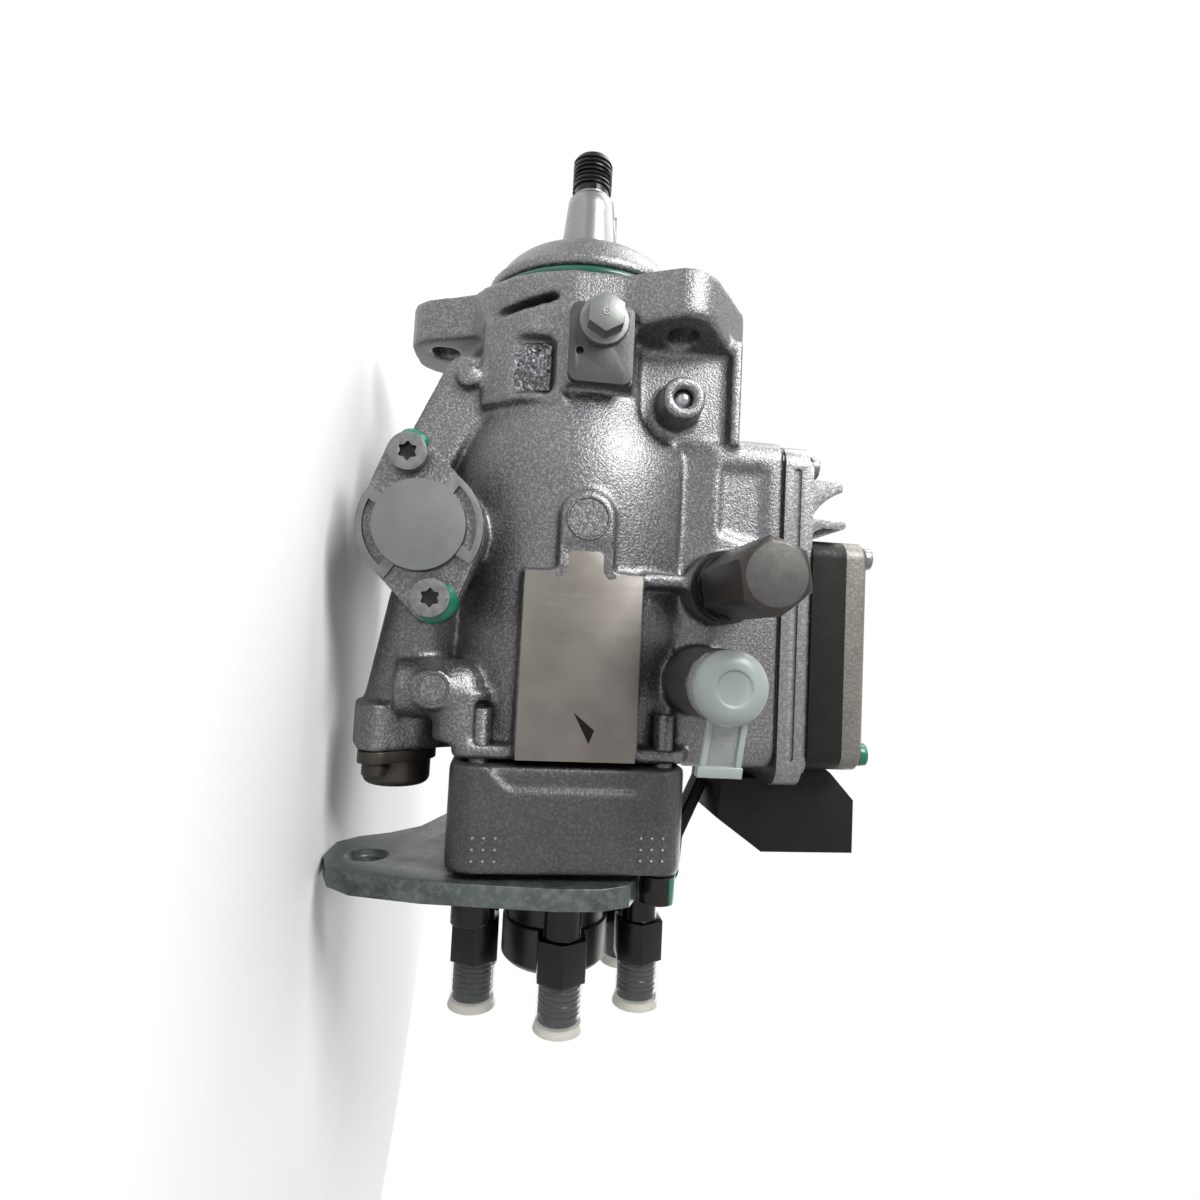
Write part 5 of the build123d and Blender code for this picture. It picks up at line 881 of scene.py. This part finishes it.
@dataclass
class DriveEnd:
    """The shaft's thread and taper, its key and the nose's rings.

    Args:
        tip_x: The thread's tip, in millimetres.
        thread_end_x: Where the thread runs out.
        thread_r: Outer radius of the thread.
        pitch: The thread's pitch.
        ridge: The thread's depth.
        bare: Length without a ridge at each end of the thread.
        sink: How far the ridge's middle lies inside the thread's outer radius.
        ridge_r: Radius of the ridge's section.
    """

    tip_x: float = -62.0
    thread_end_x: float = -48.5
    thread_r: float = 7.0
    pitch: float = 1.5
    ridge: float = 0.8
    bare: float = 1.3
    sink: float = 0.55
    ridge_r: float = 0.52

    def build(self) -> None:
        """Makes the shaft with its thread and dresses the rest."""
        source = merged("drive_shaft")
        for corner in source.verts:
            radius = math.hypot(corner.co.y, corner.co.z)
            if corner.co.x / MM < self.thread_end_x + 0.01 and radius > 5.0 * MM:
                lean = min(radius, (self.thread_r - self.ridge) * MM) / radius
                corner.co.yz = corner.co.yz * lean
        mesh = shaded(to_mesh(source, "drive_shaft"), 34)
        mesh.materials.append(GROUND_SHAFT.material())
        mesh.materials.append(BLACK_THREAD.material())
        for face in mesh.polygons:
            if face.center.x / MM < self.thread_end_x + 0.3:
                face.material_index = 1
        install("drive_shaft_turned", mesh, GROUND_SHAFT, ["drive_shaft"], "drive")
        length = self.thread_end_x - self.tip_x - 2 * self.bare
        ridges = wound("shaft_thread_ridges", [(self.tip_x + self.bare, 0, 0)], self.thread_r - self.sink,
                       self.ridge_r, length, self.pitch, BLACK_THREAD)
        install("shaft_thread_ridges", ridges, BLACK_THREAD, body="drive")
        dress(["pilot_o_ring"], GREEN_RUBBER)
        dress(["shaft_seal"], BLACK_RUBBER)
        dress(["front_bush"], BEARING_BRONZE)
        dress(["shaft_key", "trigger_wheel", "cross_disc", "vane_ring", "vane_rotor", "vanes", "vane_plate"],
              HARDENED_STEEL)


@dataclass
class TimingDevice:
    """The two cross-bore covers, their screws with sealing paint, and the timing valve.

    Args:
        axis: The cross bore's X and Z, in millimetres.
        seat_y: How far the screw seats stand from the shaft.
        boss_y: How far the covers' flat faces stand from the shaft.
        circle: Radius from the bore to each screw.
        tilt: The screws' tilt from the shaft's direction, in degrees.
        head: Head radius, head height, drive radius and drive depth of the screws.
    """

    axis: tuple[float, float] = (79.4, -46.0)
    seat_y: float = 46.0
    boss_y: float = 50.0
    circle: float = 20.0
    tilt: float = 12.0
    head: tuple[float, float, float, float] = (5.2, 4.0, 2.9, 2.4)

    def screw_places(self, side: int) -> list[tuple[float, float, float]]:
        """The screw seats on one side, which is -1 for the pad's side."""
        run = math.cos(math.radians(self.tilt)) * self.circle
        rise = math.sin(math.radians(self.tilt)) * self.circle
        return [(self.axis[0] + s * run, side * self.seat_y, self.axis[1] + s * rise) for s in (-1, 1)]

    def build(self) -> None:
        """Makes the covers, their screws, the paint and the valve."""
        flat: Zone = (SATIN_COVER, lambda at, out: abs(out.y) > 0.9 and abs(at.y) > self.boss_y - 2.6)
        # Bevelled edges next to the covers' faces get the painted edge highlight
        edge: Zone = (EDGE_HIGHLIGHT_PAINT, lambda at, out: 0.2 < abs(out.y) < 0.88 and abs(at.y) > self.boss_y - 2.8)
        for node in ("timing_cover", "spring_cover"):
            softened(node, SILVER_CASTING, 0.6, zones=[flat, edge], segments=3)
        names = ("Head Radius", "Head Height", "Drive Radius", "Drive Depth")
        tree = screw_tree(ZINC_SCREW)
        for side, label in ((-1, "near"), (1, "far")):
            values = {name: size * MM for name, size in zip(names, self.head)}
            values["Direction"] = (0.0, float(side), 0.0)
            mesh = grown(f"timing_screw_heads_{label}", tree, self.screw_places(side), values, 0.4)
            self._darken_drives(mesh, side)
            install(f"timing_screw_heads_{label}", mesh, ZINC_SCREW, ["timing_screws"] if side < 0 else [])
        self._paint()
        for node in ("timing_valve", "timing_valve_screw"):
            softened(node, OLIVE_CHROMATE, 0.3)
        dress(["timing_spring", "plunger_springs"], SPRING_WIRE)
        dress(["timing_piston", "advance_pin", "roller_ring", "roller_pins", "cam_plate", "plunger", "spring_yoke",
               *(f"roller_{i}" for i in range(1, 7))], HARDENED_STEEL)
        dress(["angle_sensor"], SENSOR_PLASTIC)

    def _darken_drives(self, mesh: Mesh, side: int) -> None:
        """Paints shade on the faces inside the star drives, as dark steel."""
        mesh.materials.append(DRIVE_SHADE_PAINT.material())
        radius, height, drive = self.head[:3]
        for face in mesh.polygons:
            at = face.center / MM
            away = min(math.hypot(at.x - x, at.z - z) for x, y, z in self.screw_places(side))
            deep = self.seat_y + height - side * at.y
            if away < drive and deep > 0.5:
                face.material_index = len(mesh.materials) - 1

    def _paint(self) -> None:
        """Brushes green paint beside the two near screws and over their rims."""
        upper, lower = self.screw_places(-1)
        head, height = self.head[0], self.head[1]
        skirt = ((head, -0.3), (head, 1.9), (head + 0.7, 1.3), (head + 1.7, 0.4), (head + 2.1, -0.2),
                 (head + 2.15, -1.8), (head + 1.1, -1.8))
        smear = ((head - 0.2, height - 0.6), (head - 0.9, height - 0.3), (head - 0.8, height + 0.1),
                 (head + 0.12, height - 0.2), (head + 0.2, 0.6), (head - 0.1, 0.4))
        paint = bmesh.new()
        paint_bead(paint, upper, skirt, 30, 125)
        paint_bead(paint, lower, skirt, -120, 48)
        paint_bead(paint, lower, smear, -75, 40)
        install("sealing_paint", shaded(to_mesh(paint, "sealing_paint"), 60), GREEN_PAINT)


@dataclass
class ShaftLock:
    """The spacer plate, its flanged screw and the ball plug.

    Args:
        dimple: Middle of the screw head's face, in millimetres.
    """

    dimple: tuple[float, float, float] = (16.6, -52.0, 1.7)

    def build(self) -> None:
        """Breaks the edges of the plate and screw and dresses the ball."""
        softened("lock_plate", PLATE_LACQUER, 0.7, segments=3)
        softened("lock_screw", SATIN_COVER, 0.35)
        # The rings round the screw head's dimple get the painted edge highlight
        lay_rings("lock_screw_dimple", ((self.dimple, 0.95, 0.22, 24), (self.dimple, 0.3, 0.22, 16)), EDGE_HIGHLIGHT_PAINT)
        dress(["ball_plug"], HARDENED_STEEL)


@dataclass
class Ports:
    """The overflow valve with its washer, and the plugged inlet.

    Args:
        washer: Middle of the overflow washer, in millimetres.
        face_y: The valve's end face.
        cap: X and Z of the inlet cap's middle.
        dome: Radius and Y of the cap's outline, from its pressed-in disc to the plug's end.
        tab: Start and end of the tab's two arms in X and Z, and the tab's Y.
        arm: Half width and half thickness of an arm.
    """

    washer: tuple[float, float, float] = (91.0, -46.5, 41.0)
    face_y: float = -84.5
    cap: tuple[float, float] = (118.6, 36.2)
    dome: Outline = (
        (0.0, -70.55), (4.4, -70.55), (4.7, -70.95), (5.4, -70.95), (7.6, -70.4), (9.1, -69.4), (9.8, -68.2),
        (9.85, -67.0), (9.6, -65.6), (9.2, -64.4), (9.2, -62.1), (5.9, -62.1), (5.9, -53.2), (0.0, -53.2))
    tab: tuple[tuple[Point, Point], tuple[Point, Point], float] = (
        ((125.4, 32.5), (140.2, 30.2)), ((125.4, 41.4), (140.4, 39.6)), -64.0)
    arm: tuple[float, float] = (0.8, 1.1)

    def build(self) -> None:
        """Finishes the valve, the washers and the cap."""
        face: Zone = (RUBBED_PHOSPHATE, lambda at, out: out.y < -0.97 and at.y < self.face_y + 0.6)
        softened("overflow_valve", DARK_PHOSPHATE, 0.45, zones=[face])
        dress(["overflow_washer"], BLACK_RUBBER)
        x, y, z = self.washer
        lay_rings("overflow_rings", (((x, y - 0.9, z), 8.6, 0.8), ((x, y + 1.0, z), 10.0, 0.7)), BLACK_RUBBER)
        self._cap()

    def _cap(self) -> None:
        """Turns the inlet's low domed cap and lays its pull tab beside it."""
        dome = bmesh.new()
        solid_turned(dome, self.cap, self.dome)
        left, right, low = self.tab
        wide, thick = self.arm
        for (x0, z0), (x1, z1) in (left, right):
            arm = ((x0, z0 - wide), (x0, z0 + wide), (x1, z1 + wide), (x1, z1 - wide))
            solid_prism(dome, arm, low - thick, low + thick)
        (x0, z0), (x1, z1) = left[1], right[1]
        bar = ((x0 - 1.4, z0 - 1.2), (x1 - 1.4, z1 + 1.2), (x1 + 1.4, z1 + 1.0), (x0 + 1.4, z0 - 1.4))
        solid_prism(dome, bar, low - 1.7, low + 1.5)
        mesh = shaded(broken("cap", to_mesh(dome, "inlet_cap_dome"), 0.45, 50, 3), 40)
        install("inlet_cap_dome", mesh, MILKY_CAP, ["inlet_cap"], "inlet_plug")
        web = bmesh.new()
        solid_prism(web, (left[0], right[0], right[1], left[1]), low - 0.2, low + 0.3)
        install("inlet_cap_web", to_mesh(web, "inlet_cap_web"), CLEAR_TAB, body="inlet_plug")


@dataclass
class ControlUnit:
    """The finned base, the electronics box, its cover and the plug connector.

    Args:
        painted_x: The cover screws nearer the head than this have green paint.
    """

    painted_x: float = 120.0

    def build(self) -> None:
        """Finishes the unit's pieces."""
        dress(["unit_gasket"], BLACK_RUBBER)
        softened("unit_base", DIE_CAST, 0.7, segments=3)
        softened("unit_box", BLACK_NYLON, 0.5)
        softened("unit_cover", WARM_COVER, 0.9, segments=3)
        softened("connector", BLACK_NYLON, 0.7)
        green: Zone = (GREEN_PAINT, lambda at, out: at.x > self.painted_x and at.z > 83.0)
        softened("cover_screws", ZINC_SCREW, 0.3, zones=[green])
        softened("base_screws", ZINC_SCREW, 0.3)


@dataclass
class DistributorHead:
    """The head block, bracket, rear solenoid, delivery holders and their caps.

    Args:
        marks: Middles of the two blocks of cast marks, in millimetres.
        pitch: Distance between the marks.
        mark_r: Radius of a mark.
        outlets: Radius of the circle of outlets.
        thread: Start, end, radius to the ridge's middle, radius of its section and pitch of the holders' threads.
        lip_x: Where the caps' milky lips start.
    """

    marks: tuple[tuple[float, float, float], ...] = ((166.2, -45.05, -24.1), (165.6, -45.05, 22.3))
    pitch: float = 3.1
    mark_r: float = 0.46
    outlets: float = 29.5
    thread: tuple[float, ...] = (208.0, 217.6, 5.88, 0.3, 1.5)
    lip_x: float = 218.6

    def build(self) -> None:
        """Finishes the head's pieces."""
        skin = Skin(voxel=0.8, passes=4, faces=120_000)
        install("head_casting", skin.cast("head"), PAINTED_IRON, ["head"])
        marks = grown("cast_marks", bead_tree(RUBBED_IRON), self.marks,
                      {"Mark Radius": self.mark_r * MM, "Spacing": self.pitch * MM, "Count": 3})
        install("cast_marks", marks, RUBBED_IRON)
        dress(["barrel"], HARDENED_STEEL)
        softened("bracket_plate", ZINC_PLATE, 0.6, segments=3)
        softened("rear_solenoid", SOLENOID_CAN, 0.5)
        dress(["solenoid_needle"], HARDENED_STEEL)
        green: Zone = (GREEN_PAINT, lambda at, out: at.x > 175.5 and at.y < 0 and at.z > 29.0)
        shank: Zone = (SILVER_CASTING, lambda at, out: at.x < 170.0)
        softened("head_screws", OILED_SCREW, 0.25, zones=[green, shank])
        softened("solenoid_lead", BLACK_NYLON, 0.5)
        softened("delivery_holders", BLACK_OXIDE, 0.3)
        self._threads()
        lip: Zone = (MILKY_LIP, lambda at, out: at.x > self.lip_x)
        for number in range(1, 7):
            softened(f"delivery_cap_{number}", CLEAR_SLEEVE, 0.15, zones=[lip])

    def _threads(self) -> None:
        """Winds the fine thread ridges on the six holders' ends."""
        start, end, radius, ridge, pitch = self.thread
        angles = [math.tau * number / 6 for number in range(6)]
        places = [(start, self.outlets * math.cos(a), self.outlets * math.sin(a)) for a in angles]
        ridges = wound("holder_thread_ridges", places, radius, ridge, end - start, pitch, BLACK_OXIDE)
        install("holder_thread_ridges", ridges, BLACK_OXIDE)


# Studio


@dataclass
class Studio:
    """Camera, lamps, world and floor.

    Args:
        eye: The camera's place in metres.
        right: The image's right in the frame.
        up: The image's up in the frame.
        lens: The lens in millimetres on a 36 mm sensor.
        floor_z: The floor's height in metres.
        sky: How strongly the world lights what isn't glossy.
        aim: Where the lamps point, in metres.
        lamps: Name, place in metres, power in watts, size in metres and colour of each.
        floor: Middle in X and Y, and radius of the floor, in metres.
    """

    eye: tuple[float, float, float] = (0.10886, -0.243, -0.01989)
    right: tuple[float, float, float] = (-0.04876, -0.12489, 0.99097)
    up: tuple[float, float, float] = (-0.99697, -0.05411, -0.05587)
    lens: float = 21.3
    floor_z: float = -0.0718
    sky: float = 0.22
    aim: Point = (0.085, 0.0, 0.01)
    lamps: tuple[tuple[str, Point, float, float, Point], ...] = (
        ("key_softbox", (-0.33, -0.45, 0.33), 6.4, 0.3, (0.97, 1.0, 0.985)),
        ("pink_fill", (-0.12, -0.56, -0.36), 5.8, 0.24, (1.0, 0.87, 0.93)),
        ("rear_softbox", (0.35, 0.55, 0.45), 3.2, 0.6, (1.0, 1.0, 1.0)),
        ("top_softbox", (-0.5, 0.1, 0.35), 3.0, 0.4, (1.0, 1.0, 1.0)),
    )
    floor: Point = (0.09, 0.05, 0.34)

    def build(self) -> None:
        """Makes the whole studio."""
        self._camera()
        self._world()
        self._floor()
        for name, place, power, size, tint in self.lamps:
            data = bpy.data.lights.new(name, "AREA")
            data.energy, data.size, data.color = power, size, tint
            lamp = new_object(name, data)
            lamp.location = place
            lamp.rotation_mode = "QUATERNION"
            lamp.rotation_quaternion = (Vector(self.aim) - Vector(place)).to_track_quat("-Z", "Y")

    def _camera(self) -> None:
        """Puts the camera in front of the pad's side, with the shaft upright in the picture."""
        data = bpy.data.cameras.new("camera")
        data.lens = self.lens
        data.sensor_width = 36.0
        data.clip_start, data.clip_end = 0.01, 20.0
        camera = new_object("camera", data)
        right, up = Vector(self.right).normalized(), Vector(self.up).normalized()
        back = right.cross(up)
        turn = Matrix((right, up, back)).transposed().to_4x4()
        camera.matrix_world = Matrix.Translation(self.eye) @ turn
        bpy.context.scene.camera = camera

    def _world(self) -> None:
        """Shows white to the camera and to gloss, and lights softly from all round."""
        world = bpy.data.worlds.new("studio")
        world.use_nodes = True
        tree = world.node_tree
        tree.nodes.clear()
        path = add(tree, "ShaderNodeLightPath").outputs
        clear = path["Is Camera Ray"]
        for kind in ("Is Glossy Ray", "Is Transmission Ray"):
            clear = add(tree, "ShaderNodeMath", {0: clear, 1: path[kind]}, operation="MAXIMUM").outputs[0]
        soft, white = (add(tree, "ShaderNodeBackground", {"Color": (1, 1, 1, 1), "Strength": strength}).outputs[0]
                       for strength in (self.sky, 1.0))
        mix = add(tree, "ShaderNodeMixShader", {0: clear, 1: soft, 2: white})
        add(tree, "ShaderNodeOutputWorld", {"Surface": mix.outputs[0]})
        bpy.context.scene.world = world

    def _floor(self) -> None:
        """Lays a small pale floor under the pump."""
        source = bmesh.new()
        x, y, radius = self.floor
        bmesh.ops.create_circle(source, cap_ends=True, segments=96, radius=radius,
                                matrix=Matrix.Translation((x, y, self.floor_z)))
        mesh = to_mesh(source, "floor")
        mesh.materials.append(FLOOR_PAINT.material())
        floor = new_object("floor", mesh)


def main() -> None:
    """Builds every sub-assembly in order, then the studio."""
    logging.basicConfig(level=logging.INFO, format="%(name)s: %(message)s")
    bpy.context.scene.view_settings.view_transform = "Standard"
    parts = (CastHousing(), DriveEnd(), TimingDevice(), ShaftLock(), Ports(), ControlUnit(), DistributorHead())
    for part in parts:
        part.build()
        log.info("%s built", type(part).__name__)
    Studio().build()


if __name__ == "__main__":
    main()
